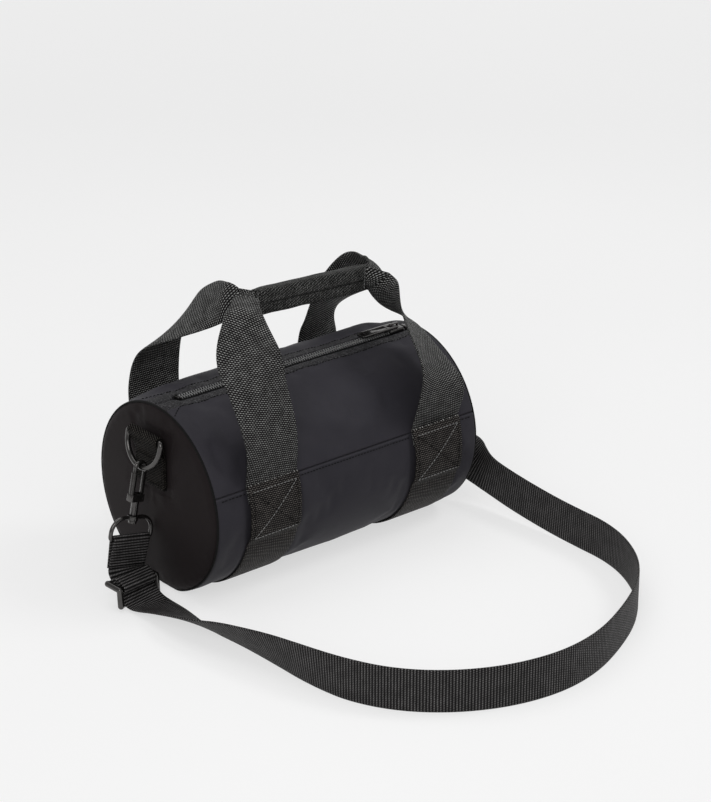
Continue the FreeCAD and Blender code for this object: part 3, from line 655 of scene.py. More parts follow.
def tube(name, points, radius, sides, material, closed=False):
    """A round bar along points, carried without twist."""
    count = len(points)
    rings = []
    weave = []
    travelled = 0.0
    frame_side = None
    for i, point in enumerate(points):
        run = (points[(i + 1) % count] - points[i - 1]).normalized() if closed else run_at(points, i)
        if frame_side is None:
            frame_side = run.orthogonal().normalized()
        frame_side = (frame_side - run * frame_side.dot(run)).normalized()
        other = run.cross(frame_side)
        if i:
            travelled += (point - points[i - 1]).length
        for k in range(sides):
            angle = 2 * pi * k / sides
            rings.append(point + (frame_side * cos(angle) + other * sin(angle)) * radius)
            weave.append((k * MM / sides * radius, travelled * MM))
    faces = grid_faces(count, sides, True, True) if closed else tube_faces(count, sides)
    piece = add_mesh(name, rings, faces, material, weave)
    piece.data.flip_normals()
    if not closed:
        flat_ends(piece)
    return piece


STITCH_SIDES = 6
STITCH_ARCH = 1.1            # how far a stitch rises and sinks, in its radius
STITCH_SINK = 0.5
STITCH_PROFILE = [(0.0, 0.35), (0.15, 0.85), (0.5, 1.0), (0.85, 0.85), (1.0, 0.35)]
# Length, gap and radius of a stitch
SEAM_SEWING = (0.0024, 0.0007, 0.0004)
LIGHT_BOX_SEWING = (0.0024, 0.0008, 0.00026)
DARK_BOX_SEWING = (0.0024, 0.0008, 0.0003)
GRIP_SEWING = (0.002, 0.0009, 0.00022)
TAB_SEWING = (0.002, 0.0009, 0.00025)


def stitches(name, rows, material, sizes, body, slot):
    """Rows of sewing: each row is a list of (point, outward normal), laid with short raised stitches."""
    length, gap, radius = sizes
    points = []
    faces = []
    for row in rows:
        reach = [0.0]
        for (a, _), (b, _) in zip(row, row[1:]):
            reach.append(reach[-1] + (b - a).length)

        def at(d):
            for k in range(1, len(row)):
                if d <= reach[k] or k == len(row) - 1:
                    t = (d - reach[k - 1]) / max(reach[k] - reach[k - 1], 1e-9)
                    return row[k - 1][0].lerp(row[k][0], t), row[k - 1][1].lerp(row[k][1], t).normalized()

        count = max(1, int(reach[-1] / (length + gap)))
        pitch = reach[-1] / count
        for i in range(count):
            start, normal = at(pitch * i + gap / 2)
            run = at(pitch * (i + 1) - gap / 2)[0] - start
            if run.length < radius:
                continue
            side = run.cross(normal).normalized()
            faces += tube_faces(len(STITCH_PROFILE), STITCH_SIDES, len(points))
            for share, swell in STITCH_PROFILE:
                rise = normal * (radius * (STITCH_ARCH * sin(pi * share) - STITCH_SINK))
                for k in range(STITCH_SIDES):
                    angle = 2 * pi * k / STITCH_SIDES
                    offset = side * cos(angle) + normal * sin(angle)
                    points.append(start + run * share + rise + offset * (radius * swell))
    return finish_piece(add_mesh(name, points, faces, material), body, slot)


# Cover: a stuffed cloth sleeve. Its puff between the seams comes from a cloth simulation on a coarse grid.

PUFF_STEP = 0.006
PUFF_LOW = -0.0008
PUFF_HIGH = 0.0016
COVER_PRESSURE = 3.0
END_PRESSURE = 2.0
STIFFNESS = 30
BENDING = 4
SHRINK = -0.006
GIRTH_MARGIN = 0.003
SIM_FRAMES = 20


def run_cloth(piece, pins, pressure):
    """Swells a sheet whose pinned points stay, and returns the moved points."""
    group = piece.vertex_groups.new(name="pins")
    group.add(pins, 1.0, "REPLACE")
    cloth = piece.modifiers.new("cloth", "CLOTH")
    settings = cloth.settings
    settings.vertex_group_mass = "pins"
    settings.use_pressure = True
    settings.uniform_pressure_force = pressure
    settings.effector_weights.gravity = 0
    settings.tension_stiffness = STIFFNESS
    settings.bending_stiffness = BENDING
    settings.shrink_min = SHRINK
    cloth.point_cache.frame_start = 1
    cloth.point_cache.frame_end = SIM_FRAMES
    scene = bpy.context.scene
    for number in range(1, SIM_FRAMES + 1):
        scene.frame_set(number)
    done = piece.evaluated_get(bpy.context.evaluated_depsgraph_get())
    moved = [v.co.copy() for v in done.data.vertices]
    scene.frame_set(1)
    bpy.data.objects.remove(piece)
    return moved


def unrolled(q):
    """From the distance round the sleeve, from the zip's back edge under the base to its front edge."""
    return q if q <= HALF_ROUND else q - ROUND


def under_girth(x, margin):
    return any(abs(x - middle) < HANDLE_WIDTH / 2 + margin for middle in GIRTHS.values())


def simulate_cover():
    xs = spaced(-PANEL_END, PANEL_END, PUFF_STEP)
    qs = spaced(ZIP_EDGE, ROUND - ZIP_EDGE, PUFF_STEP)
    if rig.quick():
        return xs, qs, [[0.0] * len(qs) for _ in xs]
    rest = [on_barrel(x, unrolled(q), 0) for x in xs for q in qs]
    sheet = add_mesh("puff_sheet", rest, grid_faces(len(xs), len(qs)), BODY_CLOTH)
    pins = []
    for i, x in enumerate(xs):
        for j, q in enumerate(qs):
            height = rest[i * len(qs) + j].z
            edge = i in (0, len(xs) - 1) or j in (0, len(qs) - 1)
            seam = min(abs(q - SEAM_ROUND), abs(ROUND - SEAM_ROUND - q)) < PUFF_STEP / 2
            banded = under_girth(x, 0) and height < BOX_TOP
            if edge or seam or banded or height < BASE_HEIGHT + LAY_GAP:
                pins.append(i * len(qs) + j)
    moved = run_cloth(sheet, pins, COVER_PRESSURE)
    normals = [barrel_normal(unrolled(q)) for q in qs] * len(xs)
    rises = [min(PUFF_HIGH, max(PUFF_LOW, (b - a).dot(out))) for a, b, out in zip(rest, moved, normals)]
    return xs, qs, [rises[k:k + len(qs)] for k in range(0, len(rises), len(qs))]


puff_xs, puff_qs, puff_rows = simulate_cover()


def between(values, value):
    """Index and share of a value between evenly spaced values."""
    step = (values[-1] - values[0]) / (len(values) - 1)
    place = min(max((value - values[0]) / step, 0), len(values) - 1.001)
    return int(place), place - int(place)


def puff_at(x, q):
    i, a = between(puff_xs, x)
    j, b = between(puff_qs, q)
    low = puff_rows[i][j] * (1 - b) + puff_rows[i][j + 1] * b
    high = puff_rows[i + 1][j] * (1 - b) + puff_rows[i + 1][j + 1] * b
    return low * (1 - a) + high * a


ZIP_STITCH = 0.0150          # how far round from the top the rows beside the zip lie
SEAM_STITCH = 0.0032         # how far below the side seam its row lies
ZIP_CLOSED = (-0.1163, 0.1263)
ZIP_CLOSING = 0.003
SEAM_SLIT = 0.00015
BACK_SWELL = 0.0040          # the back upper panel stands fuller than the plain barrel
BACK_SWELL_START = 0.007
BACK_SWELL_RISE = 0.027
BACK_SWELL_TOP = 0.052
BACK_SWELL_FALL = 0.042
BACK_SWELL_END = 0.032
COVER_END = 0.1359           # the cover turns in here to meet the end seam
COVER_STEP = 0.0022
COVER_TURN = [side * (COVER_END - d) for side in (-1, 1) for d in (0.0002, 0.0005, 0.0009, 0.0014)]
COVER_RIPPLE = 0.0005
RIPPLE_SCALE = 17
RIPPLE_END = 0.012
END_TUCK = (0.0013, 0.0022)  # depths and widths of what the seams and the sewing do to the cloth
SEAM_DIP = (0.0011, 0.0008)
SEAM_WELT = (0.0006, 0.001, 0.0018)
ZIP_TUCK = (0.0009, 0.0016)
ZIP_WELT = (0.0006, 0.003)
ZIP_ROW_DIP = (0.0007, 0.0011)
SEAM_ROW_DIP = (0.0005, 0.0009)
UNDER_WEB = -0.0003
STITCH_TUG = 0.4             # share of the dip that comes and goes with each stitch
BASE_FLAT = 0.004
BAND_FADE = 0.0008


def cover_lift(x, q):
    """How far the cover stands off the plain barrel."""
    s = unrolled(q)
    d = abs(s)
    inside = COVER_END - abs(x)
    below = d - SEAM_ROUND
    beside = d - ZIP_EDGE
    ripple = COVER_RIPPLE * noise.noise(Vector((x * RIPPLE_SCALE, q * RIPPLE_SCALE, 3.1)))
    lift = (puff_at(x, q) + ripple) * ease(inside / RIPPLE_END)
    if s > 0:
        full = ease((s - BACK_SWELL_START) / BACK_SWELL_RISE) * (1 - ease((s - BACK_SWELL_TOP) / BACK_SWELL_FALL))
        lift += BACK_SWELL * full * ease(inside / BACK_SWELL_END)
    lift -= END_TUCK[0] * (1 - min(1, inside / END_TUCK[1])) ** 2
    lift -= SEAM_DIP[0] * bell(below, SEAM_DIP[1])
    lift += SEAM_WELT[0] * ease(below / SEAM_WELT[1]) * (1 - ease((below - SEAM_STITCH) / SEAM_WELT[2]))
    lift -= ZIP_TUCK[0] * (1 - ease(beside / ZIP_TUCK[1]))
    lift += ZIP_WELT[0] * ease(beside / ZIP_WELT[1]) * (1 - ease((d - ZIP_STITCH) / ZIP_WELT[1]))
    tug = 1 - STITCH_TUG + STITCH_TUG * cos(2 * pi * x / (SEAM_SEWING[0] + SEAM_SEWING[1]))
    lift -= ZIP_ROW_DIP[0] * tug * bell(d - ZIP_STITCH, ZIP_ROW_DIP[1])
    lift -= SEAM_ROW_DIP[0] * tug * bell(below - SEAM_STITCH, SEAM_ROW_DIP[1])
    height = section(s)[1]
    if under_girth(x, GIRTH_MARGIN) and height < BOX_TOP + GIRTH_MARGIN:
        lift = min(lift, UNDER_WEB)
    if height < BASE_HEIGHT + BASE_FLAT:
        lift = min(lift, 0.0)
    return lift


def gathered(x, s):
    """Past the ends of the zip's chain the two panels meet over the tape."""
    closing = ease((ZIP_CLOSED[0] - x) / ZIP_CLOSING) + ease((x - ZIP_CLOSED[1]) / ZIP_CLOSING)
    nearness = 1 - ease((abs(s) - ZIP_EDGE) / ZIP_STITCH)
    return s - copysign((ZIP_EDGE - SEAM_SLIT) * closing * nearness, s)


def cover_point(x, q):
    return on_barrel(x, gathered(x, unrolled(q)), cover_lift(x, q))


def barrel_sheet(name, xs, qs, place, material, thickness, weave=None, inverted=False):
    """Cloth on the barrel, through place(x, q)."""
    piece = add_mesh(name, [place(x, q) for x in xs for q in qs], grid_faces(len(xs), len(qs)), material, weave)
    if inverted:
        piece.data.flip_normals()
    return thicken(piece, thickness)


def cover_panel(name, q0, q1, extra):
    xs = spaced(-COVER_END, COVER_END, COVER_STEP, COVER_TURN)
    qs = spaced(q0, q1, COVER_STEP, extra)
    banded = [(1 - ease((abs(unrolled(q)) - ZIP_STITCH) / BAND_FADE), 0) for q in qs] * len(xs)
    return barrel_sheet(name, xs, qs, cover_point, BODY_CLOTH, PANEL_THICKNESS, banded)


def near(*values):
    """Places close to each value, for a finer mesh there."""
    return [v + side * d for v in values for side in (-1, 1) for d in (0.0, 0.0004, 0.0007, 0.0011, 0.0016)]


def cut_length(q0, q1):
    """Cloth that a panel takes round the barrel, at the middle of the bag."""
    line = [on_barrel(0, unrolled(q), cover_lift(0, q)) for q in spaced(q0, q1, COVER_STEP)]
    return sum((b - a).length for a, b in zip(line, line[1:]))


front_seam = ROUND - SEAM_ROUND
front_zip = ROUND - ZIP_EDGE
panel_length = 2 * COVER_END
rows_at = near(SEAM_ROUND, SEAM_ROUND + SEAM_STITCH, ZIP_EDGE, ZIP_STITCH, front_seam, front_seam - SEAM_STITCH,
               front_zip, ROUND - ZIP_STITCH)
PANELS = [
    ("base_cover", SEAM_ROUND + SEAM_SLIT, front_seam - SEAM_SLIT, "base_panel"),
    ("back_cover", ZIP_EDGE, SEAM_ROUND, "back_upper_panel"),
    ("front_cover", front_seam, front_zip, "front_upper_panel"),
]
for name, q0, q1, stands_for in PANELS:
    panel = cover_panel(name, q0, q1, rows_at)
    finish_piece(panel, "bag", "body_fabric", stands_for)
    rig.sheet(panel, flat=(panel_length, cut_length(q0, q1)), held="stretched", rests_on=["lining_sleeve"])


# Ends: padded discs in a piped seam

COVER_GRID = (34, 200)       # rings and sides
PAD_GRID = (10, 80)
PUFF_GRID = (16, 48)
DISC_INSET = 0.0022
RIM_INSET = 0.0011
PIPING_SHOWN = 0.0009
PIPING_POINTS = 240
PIPING_SIDES = 10
TAB_HALF = 0.019
TAB_BOTTOM = 0.092
TAB_TOP = 0.120
TAB_BACK = 0.1411
END_PUFF = (-0.0006, 0.0012)
END_RIPPLE = 0.0004
END_RIPPLE_SCALE = 15
RIM_TUCK = 0.0013
RIM_TUCK_START = 0.955       # shares of the barrel's radius
RIM_TUCK_WIDTH = 0.035
TAB_MARGIN = 0.006
TAB_MARGIN_TOP = 0.02
UNDER_TAB = -0.0002


def disc_point(ring, turn, rings, inset):
    """Point of an end disc, from its middle (0) to its rim: y, z."""
    y, z, ny, nz = section((turn - 0.5) * ROUND)
    share = ring / rings
    return (y - ny * inset) * share, AXIS_HEIGHT + (z - nz * inset - AXIS_HEIGHT) * share


def dome_x(y, z, depth):
    """X of the bulged end at that place, depth inside its outer face."""
    big = (BARREL_RADIUS ** 2 + END_BULGE ** 2) / (2 * END_BULGE)
    off = y * y + (z - AXIS_HEIGHT) ** 2
    return HALF_LENGTH + END_BULGE - big + sqrt((big - depth) ** 2 - off)


def disc_mesh(name, side, material, grid, depth, lift, inset):
    rings, sides = grid
    points = [Vector((side * (dome_x(0, AXIS_HEIGHT, depth) + lift(0, AXIS_HEIGHT)), 0, AXIS_HEIGHT))]
    for ring in range(1, rings + 1):
        for k in range(sides):
            y, z = disc_point(ring, k / sides, rings, inset)
            points.append(Vector((side * (dome_x(y, z, depth) + lift(y, z)), y, z)))
    faces = [(0, 1 + k, 1 + (k + 1) % sides) for k in range(sides)]
    faces += [tuple(1 + v for v in face) for face in grid_faces(rings, sides, wrap_columns=True)]
    piece = add_mesh(name, points, faces, material)
    if (piece.data.polygons[0].normal.x > 0) != (side > 0):
        piece.data.flip_normals()
    return piece


def simulate_end():
    """Swelling of the end disc, found on a coarse grid and turned into a function of y and z."""
    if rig.quick():
        return lambda y, z: 0.0
    sheet = disc_mesh("puff_disc", 1, END_CLOTH, PUFF_GRID, 0, lambda y, z: 0, DISC_INSET)
    rest = [v.co.copy() for v in sheet.data.vertices]
    rim = range(len(rest) - PUFF_GRID[1], len(rest))
    tab = [k for k, p in enumerate(rest) if abs(p.y) < TAB_HALF and TAB_BOTTOM < p.z < TAB_TOP]
    moved = run_cloth(sheet, [*rim, *tab], END_PRESSURE)
    rises = [min(END_PUFF[1], max(END_PUFF[0], b.x - a.x)) for a, b in zip(rest, moved)]

    def rise(y, z):
        total = 0.0
        weight = 0.0
        for point, value in zip(rest, rises):
            share = 1 / ((point.y - y) ** 2 + (point.z - z) ** 2 + 1e-7) ** 2
            total += value * share
            weight += share
        return total / weight

    return rise


end_rise = simulate_end()


def end_lift(y, z):
    r = hypot(y, z - AXIS_HEIGHT) / BARREL_RADIUS
    ripple = END_RIPPLE * noise.noise(Vector((y * END_RIPPLE_SCALE, z * END_RIPPLE_SCALE, 7.7)))
    lift = end_rise(y, z) + ripple - RIM_TUCK * ease((r - RIM_TUCK_START) / RIM_TUCK_WIDTH) ** 2
    if abs(y) < TAB_HALF + TAB_MARGIN and TAB_BOTTOM - TAB_MARGIN < z < TAB_TOP + TAB_MARGIN_TOP:
        lift = min(lift, UNDER_TAB)
    return lift


# Material, grid, depth, lift, inset and thickness of the three layers of an end, with slot and node
END_LAYERS = {
    "_end_cover": (END_CLOTH, COVER_GRID, 0, end_lift, RIM_INSET, PANEL_THICKNESS, "end_fabric", "_end_panel"),
    "_end_pad": (FOAM, PAD_GRID, 0.0015, lambda y, z: -0.0004, DISC_INSET, 0.0027, "foam", "_end_foam"),
    "_end_backing": (LINING_CLOTH, PAD_GRID, 0.0046, lambda y, z: -0.0005, DISC_INSET, 0.0005, "lining", "_end_lining"),
}
END_FILL = {"_end_cover": 0.7, "_end_pad": 0.5}
for side_name, side in SIDES.items():
    for layer, (material, grid, depth, lift, inset, thickness, slot, node) in END_LAYERS.items():
        disc = thicken(disc_mesh(side_name + layer, side, material, grid, depth, lift, inset), thickness)
        finish_piece(disc, "bag", slot, side_name + node)
        if layer in END_FILL:
            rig.padded(disc, fill=END_FILL[layer])
    ring = [on_barrel(side * (HALF_LENGTH - PIPING_RADIUS), (k / PIPING_POINTS - 0.5) * ROUND, -PIPING_RADIUS)
            for k in range(PIPING_POINTS)]
    cord = tube(side_name + "_piping", ring, PIPING_SHOWN, PIPING_SIDES, PIPING, closed=True)
    finish_piece(cord, "bag", "piping", side_name + "_seam_piping")


# Lining, bindings

MOUTH_HALF = 0.0162
LINING_LIFT = -0.0014
LINING_THICKNESS = 0.0005
BINDING_LIFT = -0.0021
BINDING_THICKNESS = 0.0009
BINDING = (0.1189, 0.1309)
SLEEVE_STEPS = (0.006, 0.004)
SLEEVE_RIPPLE = 0.00008
SLEEVE_RIPPLE_SCALE = 60


def inner_sleeve(name, x0, x1, lift, thickness, material, slot, stands_for):
    def place(x, q):
        ripple = SLEEVE_RIPPLE * noise.noise(Vector((x * SLEEVE_RIPPLE_SCALE, q * SLEEVE_RIPPLE_SCALE, 1)))
        return on_barrel(x, unrolled(q), lift + ripple)

    qs = spaced(MOUTH_HALF, ROUND - MOUTH_HALF, SLEEVE_STEPS[1])
    piece = barrel_sheet(name, spaced(x0, x1, SLEEVE_STEPS[0]), qs, place, material, thickness)
    finish_piece(piece, "bag", slot, stands_for)


inner_sleeve("lining", -PANEL_END, PANEL_END, LINING_LIFT, LINING_THICKNESS, LINING_CLOTH, "lining", "lining_sleeve")
for side_name, side in SIDES.items():
    x0, x1 = sorted(side * x for x in BINDING)
    inner_sleeve(side_name + "_binding", x0, x1, BINDING_LIFT, BINDING_THICKNESS, ZIP_CLOTH, "binding_tape",
                 side_name + "_seam_binding")


# Zip

TAPE_EDGE = 0.0159
TAPE_LIFT = -0.0013
TAPE_RIPPLE = 0.00008
TAPE_WAVES = (900, 400)      # radians to the metre
TAPE_STEPS = (0.004, 0.001)
TAPE_THICKNESS = 0.0005
SLIT_HALF = 0.0009
COIL_RADIUS = 0.0013
COIL_HEIGHT = 0.1586
CHAIN = (-0.113, 0.123)
COIL_PITCH = 0.0024
COIL_WIRE = 0.00042
COIL_STEPS = 12
COIL_SIDES = 6
COIL_INSET = 0.0001
COIL_HOOK = 0.0006           # how far each turn reaches past the coil's side


def zip_tape(name, side, stands_for):
    def place(x, s):
        return on_barrel(x, side * s, TAPE_LIFT + TAPE_RIPPLE * sin(x * TAPE_WAVES[0] + s * TAPE_WAVES[1]))

    xs = spaced(-PANEL_END, PANEL_END, TAPE_STEPS[0])
    ss = spaced(SLIT_HALF, TAPE_EDGE, TAPE_STEPS[1])
    weave = [(s * MM, x * MM) for x in xs for s in ss]
    piece = barrel_sheet(name, xs, ss, place, ZIP_CLOTH, TAPE_THICKNESS, weave, side < 0)
    finish_piece(piece, "bag", "zip_tape", stands_for)


def zip_coil(name, side, stands_for):
    """A row of coil teeth: a flattened helix whose turns hook into the other row."""
    middle = side * (SLIT_HALF + COIL_RADIUS - COIL_INSET)
    turns = int((CHAIN[1] - CHAIN[0]) / COIL_PITCH)
    start = CHAIN[0] + (COIL_PITCH / 2 if side > 0 else 0)
    reach = COIL_RADIUS - COIL_WIRE
    points = []
    for i in range(turns * COIL_STEPS):
        angle = 2 * pi * i / COIL_STEPS
        x = start + COIL_PITCH * i / COIL_STEPS
        points.append(Vector((min(x, CHAIN[1]), middle - side * (reach + COIL_HOOK) * cos(angle),
                              COIL_HEIGHT + reach * sin(angle))))
    # The coil's colour is a painted glint.
    finish_piece(tube(name, points, COIL_WIRE, COIL_SIDES, COIL_PAINTED_GLINT), "bag", "zip_coil", stands_for)


for name, side in (("front", -1), ("back", 1)):
    zip_tape("tape_" + name, side, "zip_tape_" + name)
    zip_coil("coil_" + name, side, "zip_coil_" + name)

THREAD_LIFT = 0.0001
ZIP_ROW = (0.127, -0.118)
ZIP_ROW_BEND = [(-0.1225, 0.0008), (-0.1265, 0.0025), (-0.1305, 0.0050), (-0.1342, 0.0080)]
ZIP_ROW_STEPS = 99
SEAM_ROW_HALF = 0.131
SEAM_ROW_STEPS = 120
SEAM_ROW_MARGIN = 0.0005


def sewn(x, s):
    """Place and normal of sewing on the cover."""
    q = s if s > 0 else s + ROUND
    return on_barrel(x, gathered(x, s), cover_lift(x, q) + THREAD_LIFT), barrel_normal(s)


def zip_row(side):
    """Sewing along one side of the zip, bending down to the end seam at the left."""
    start, end = ZIP_ROW
    row = [(start + (end - start) * k / ZIP_ROW_STEPS, 0) for k in range(ZIP_ROW_STEPS + 1)]
    return [sewn(x, side * (ZIP_STITCH + drop)) for x, drop in row + ZIP_ROW_BEND]


def seam_row(side):
    """Sewing under one side seam, in the stretches that the girth webbing leaves bare."""
    rows = [[]]
    for k in range(SEAM_ROW_STEPS + 1):
        x = SEAM_ROW_HALF * (2 * k / SEAM_ROW_STEPS - 1)
        if under_girth(x, SEAM_ROW_MARGIN):
            rows.append([])
        else:
            rows[-1].append(sewn(x, side * (SEAM_ROUND + SEAM_STITCH)))
    return [row for row in rows if len(row) > 2]


stitches("zip_sewing", [zip_row(-1), zip_row(1)], DARK_THREAD, SEAM_SEWING, "bag", "body_fabric")
stitches("seam_sewing", seam_row(-1) + seam_row(1), DARK_THREAD, SEAM_SEWING, "bag", "body_fabric")


# Girth webbing with its sewn boxes

WEB_THICKNESS = 0.0018
GIRTH_LOW = LAY_GAP + WEB_THICKNESS / 2
GIRTH_RAISE = 0.0027
GIRTH_STEP = 0.008
GIRTH_WAVE = 0.00015
WAVE_BOTTOM = 0.03
WAVE_SCALES = (9, 25)
MESH_STEP = 0.002
HEM_SWELL = 0.0003
HEM_DROP = 0.0006
HEM_STEPS = 12
HEM_SIDES = 12
BOX_SIDE = 0.003             # how far the sewing stays from the webbing's edges
BOX_HEAD = 0.005
BOX_STEPS = 24


def straight(first, last, steps):
    """Evenly spaced pairs of numbers from the first pair to the last."""
    return [[a + (b - a) * k / steps for a, b in zip(first, last)] for k in range(steps + 1)]


def girth_lift(s):
    raised = ease((section(s)[1] - BOX_BOTTOM + GIRTH_STEP / 2) / GIRTH_STEP)
    return GIRTH_LOW + GIRTH_RAISE * raised


def girth(name, x):
    top = round_at(BOX_TOP)
    half = Vector((HANDLE_WIDTH / 2, 0, 0))
    stations = []
    for q in spaced(top, ROUND - top, MESH_STEP):
        s = unrolled(q)
        wave = GIRTH_WAVE * noise.noise(Vector((x * WAVE_SCALES[0], q * WAVE_SCALES[1], 5)))
        wave *= section(s)[1] > WAVE_BOTTOM
        stations.append((on_barrel(x, s, girth_lift(s) + wave), half))
    # The girth takes the painted shaded copy of the handle webbing.
    piece = band(name + "_girth", stations, WEB_THICKNESS, SHADED_GIRTH_WEB)
    finish_piece(piece, "bag", "handle_webbing", name + "_girth_webbing")
    for end, side in (("back", 1), ("front", -1)):
        roll = [on_barrel(x + HANDLE_WIDTH * (k / HEM_STEPS - 0.5), side * (top + HEM_DROP), girth_lift(top) - HEM_DROP)
                for k in range(HEM_STEPS + 1)]
        # The hem's bright colour is a painted highlight on the fold.
        hem = tube(f"{name}_hem_{end}", roll, WEB_THICKNESS / 2 + HEM_SWELL, HEM_SIDES, HEM_WEB_HIGHLIGHT)
        finish_piece(hem, "bag", "handle_webbing")


def box_rows(x, lines):
    """Sewing of the two boxes of one girth, along lines between the corners of the box."""
    edge = HANDLE_WIDTH / 2 - BOX_SIDE
    high = round_at(BOX_TOP - BOX_HEAD)
    low = round_at(BOX_BOTTOM + BOX_SIDE)
    corners = [(-edge, high), (edge, high), (edge, low), (-edge, low)]
    rows = []
    for side in (1, -1):
        for first, last in lines:
            row = []
            for across, d in straight(corners[first], corners[last], BOX_STEPS):
                lift = girth_lift(d) + WEB_THICKNESS / 2 + THREAD_LIFT
                row.append((on_barrel(x + across, side * d, lift), barrel_normal(side * d)))
            rows.append(row)
    return rows


for name, x in GIRTHS.items():
    girth(name, x)
light_rows = [row for x in GIRTHS.values() for row in box_rows(x, [(0, 1), (2, 3), (3, 1)])]
dark_rows = [row for x in GIRTHS.values() for row in box_rows(x, [(1, 2), (3, 0), (0, 2)])]
stitches("box_light_sewing", light_rows, GREY_THREAD, LIGHT_BOX_SEWING, "bag", "handle_webbing")
stitches("box_dark_sewing", dark_rows, DARK_THREAD, DARK_BOX_SEWING, "bag", "handle_webbing")


# Handles

GRIP_CENTRE = Vector((0.013, -0.010, 0.2225))
GRIP_HALF = 0.058
GRIP_TILT = radians(3)
GRIP_ALONG = Vector((cos(GRIP_TILT), 0, -sin(GRIP_TILT)))
GRIP_UP = Vector((sin(GRIP_TILT), 0, cos(GRIP_TILT)))
GRIP_FOLD_HEIGHT = 0.0195
FOLD_THICKNESS = 0.0034
FOLD_STEPS = 12
LEG_STEPS = 10
LEG_LIFT = LAY_GAP + WEB_THICKNESS / 2 + 0.0004
TAIL_LENGTH = 0.014
TAIL_STEPS = 6
SQUASH_KEEP = 0.703
GRIP_BOW = 0.2               # how far the webbing is bowed across its width inside the grip, in radians
LEG_BOW = 1.0
BOWED_AT = 0.6               # share of its width at which a leg is bowed the most
BOWED_OVER = 0.15

# A leg from the top of its box (0) to the grip's end (1): shares of the way along X, Y and Z, the turn of
# the webbing about its run in degrees, and its width as a share.
LEGS = {
    ("front", "left"): (-1, [
        (0.00, 0.00, 0.00, 0, 1.0), (-0.05, -0.05, 0.30, 0, 1.0), (-0.20, 0.10, 0.65, -10, 1.0),
        (-0.13, 0.35, 0.85, -40, 0.97), (0.11, 0.57, 1.01, -30, 0.65), (0.36, 0.72, 1.07, -15, 0.47),
        (0.58, 0.85, 1.09, 0, 0.4)]),
    ("front", "right"): (-1, [
        (0.00, 0.00, 0.00, 0, 1.0), (-0.05, -0.12, 0.25, 2, 1.0), (-0.05, 0.00, 0.45, 25, 1.0),
        (0.10, 0.40, 0.70, 41, 1.0), (0.20, 0.60, 0.80, 56, 0.9), (0.35, 0.80, 0.90, 90, 0.7),
        (0.55, 0.90, 0.97, 112, 0.5)]),
    ("back", "left"): (1, [
        (0.00, 0.00, 0.00, 0, 1.0), (0.00, -0.03, 0.30, 0, 1.0), (0.05, 0.08, 0.58, 10, 1.0),
        (0.24, 0.40, 0.82, 38, 1.0), (0.42, 0.65, 0.94, 50, 0.9), (0.55, 0.85, 1.00, 65, 0.65),
        (0.68, 0.95, 1.00, 75, 0.5)]),
    ("back", "right"): (-1, [
        (0.00, 0.00, 0.00, 0, 1.0), (0.00, 0.00, 0.25, 10, 1.0), (-0.15, 0.02, 0.45, 15, 1.0),
        (-0.55, 0.28, 0.72, -20, 1.0), (-0.70, 0.55, 0.87, -55, 0.95), (-0.30, 0.80, 0.95, -65, 0.7),
        (0.25, 0.90, 1.00, -80, 0.5), (0.70, 0.97, 1.00, -95, 0.4)]),
}


def grip_end(end, side):
    return GRIP_CENTRE + GRIP_ALONG * (end * GRIP_HALF) + Vector((0, side * (FOLD_THICKNESS + LAY_GAP) / 2, 0))


def leg_stations(which, x):
    """Stations of one leg from under its box to the grip's end."""
    top_edge, shares = LEGS[which]
    side = -1 if which[0] == "front" else 1
    level = Vector((top_edge, 0, 0))
    top = round_at(BOX_TOP)
    stations = []
    for k in range(TAIL_STEPS):
        s = side * (top + TAIL_LENGTH * (1 - k / TAIL_STEPS))
        stations.append((on_barrel(x, s, LEG_LIFT), level * (HANDLE_WIDTH / 2)))
    start = on_barrel(x, side * top, LEG_LIFT)
    reach = grip_end(SIDES[which[1]], side) - start
    rows = catmull(shares, LEG_STEPS)
    spots = [start + Vector((reach.x * row[0], reach.y * row[1], reach.z * row[2])) for row in rows]
    for i, (spot, row) in enumerate(zip(spots, rows)):
        run = run_at(spots, i)
        across = (level - run * level.dot(run)).normalized()
        turn = radians(row[3])
        half = (across * cos(turn) + run.cross(across) * sin(turn)) * (HANDLE_WIDTH * row[4] / 2)
        stations.append((spot, half, GRIP_BOW + LEG_BOW * bell(row[4] - BOWED_AT, BOWED_OVER)))
    return stations


def handle(name, side):
    left, right = (leg_stations((name, end), x) for end, x in GIRTHS.items())
    fold = GRIP_UP * (GRIP_FOLD_HEIGHT / 2)
    middle = [(grip_end(-1, side).lerp(grip_end(1, side), k / FOLD_STEPS), fold, GRIP_BOW)
              for k in range(FOLD_STEPS + 1)]
    piece = band(name + "_handle", left + middle + right[::-1], WEB_THICKNESS, HANDLE_WEB)
    finish_piece(piece, "bag", "handle_webbing", name + "_handle_webbing")
    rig.squash(piece, "handles_press_down", axis=(0, 0, 1), anchor=(0, 0, BOX_TOP), keep=SQUASH_KEEP)


handle("front", -1)
handle("back", 1)

GRIP_HALF_Y = 0.0048
GRIP_HALF_Z = 0.01105
GRIP_SIDES = 40
GRIP_RINGS = 60
GRIP_CORNER = 6.0            # how square the wrap is
GRIP_LUMPS = 0.05
LUMP_SCALES = (3.5, 1.3)
GRIP_PINCH = 0.34
PINCHED = 0.16               # share of each half that is pinched towards its end
WRAP_THICKNESS = 0.0009
WRAP_WEAVE = 9               # millimetres of weave to a radian round the grip
GRIP_SEWN = 0.965            # shares of the grip's half length, half height and half depth
SEWN_HEIGHT = 0.86
SEWN_DEPTH = 0.72
SEWN_STEPS = 12


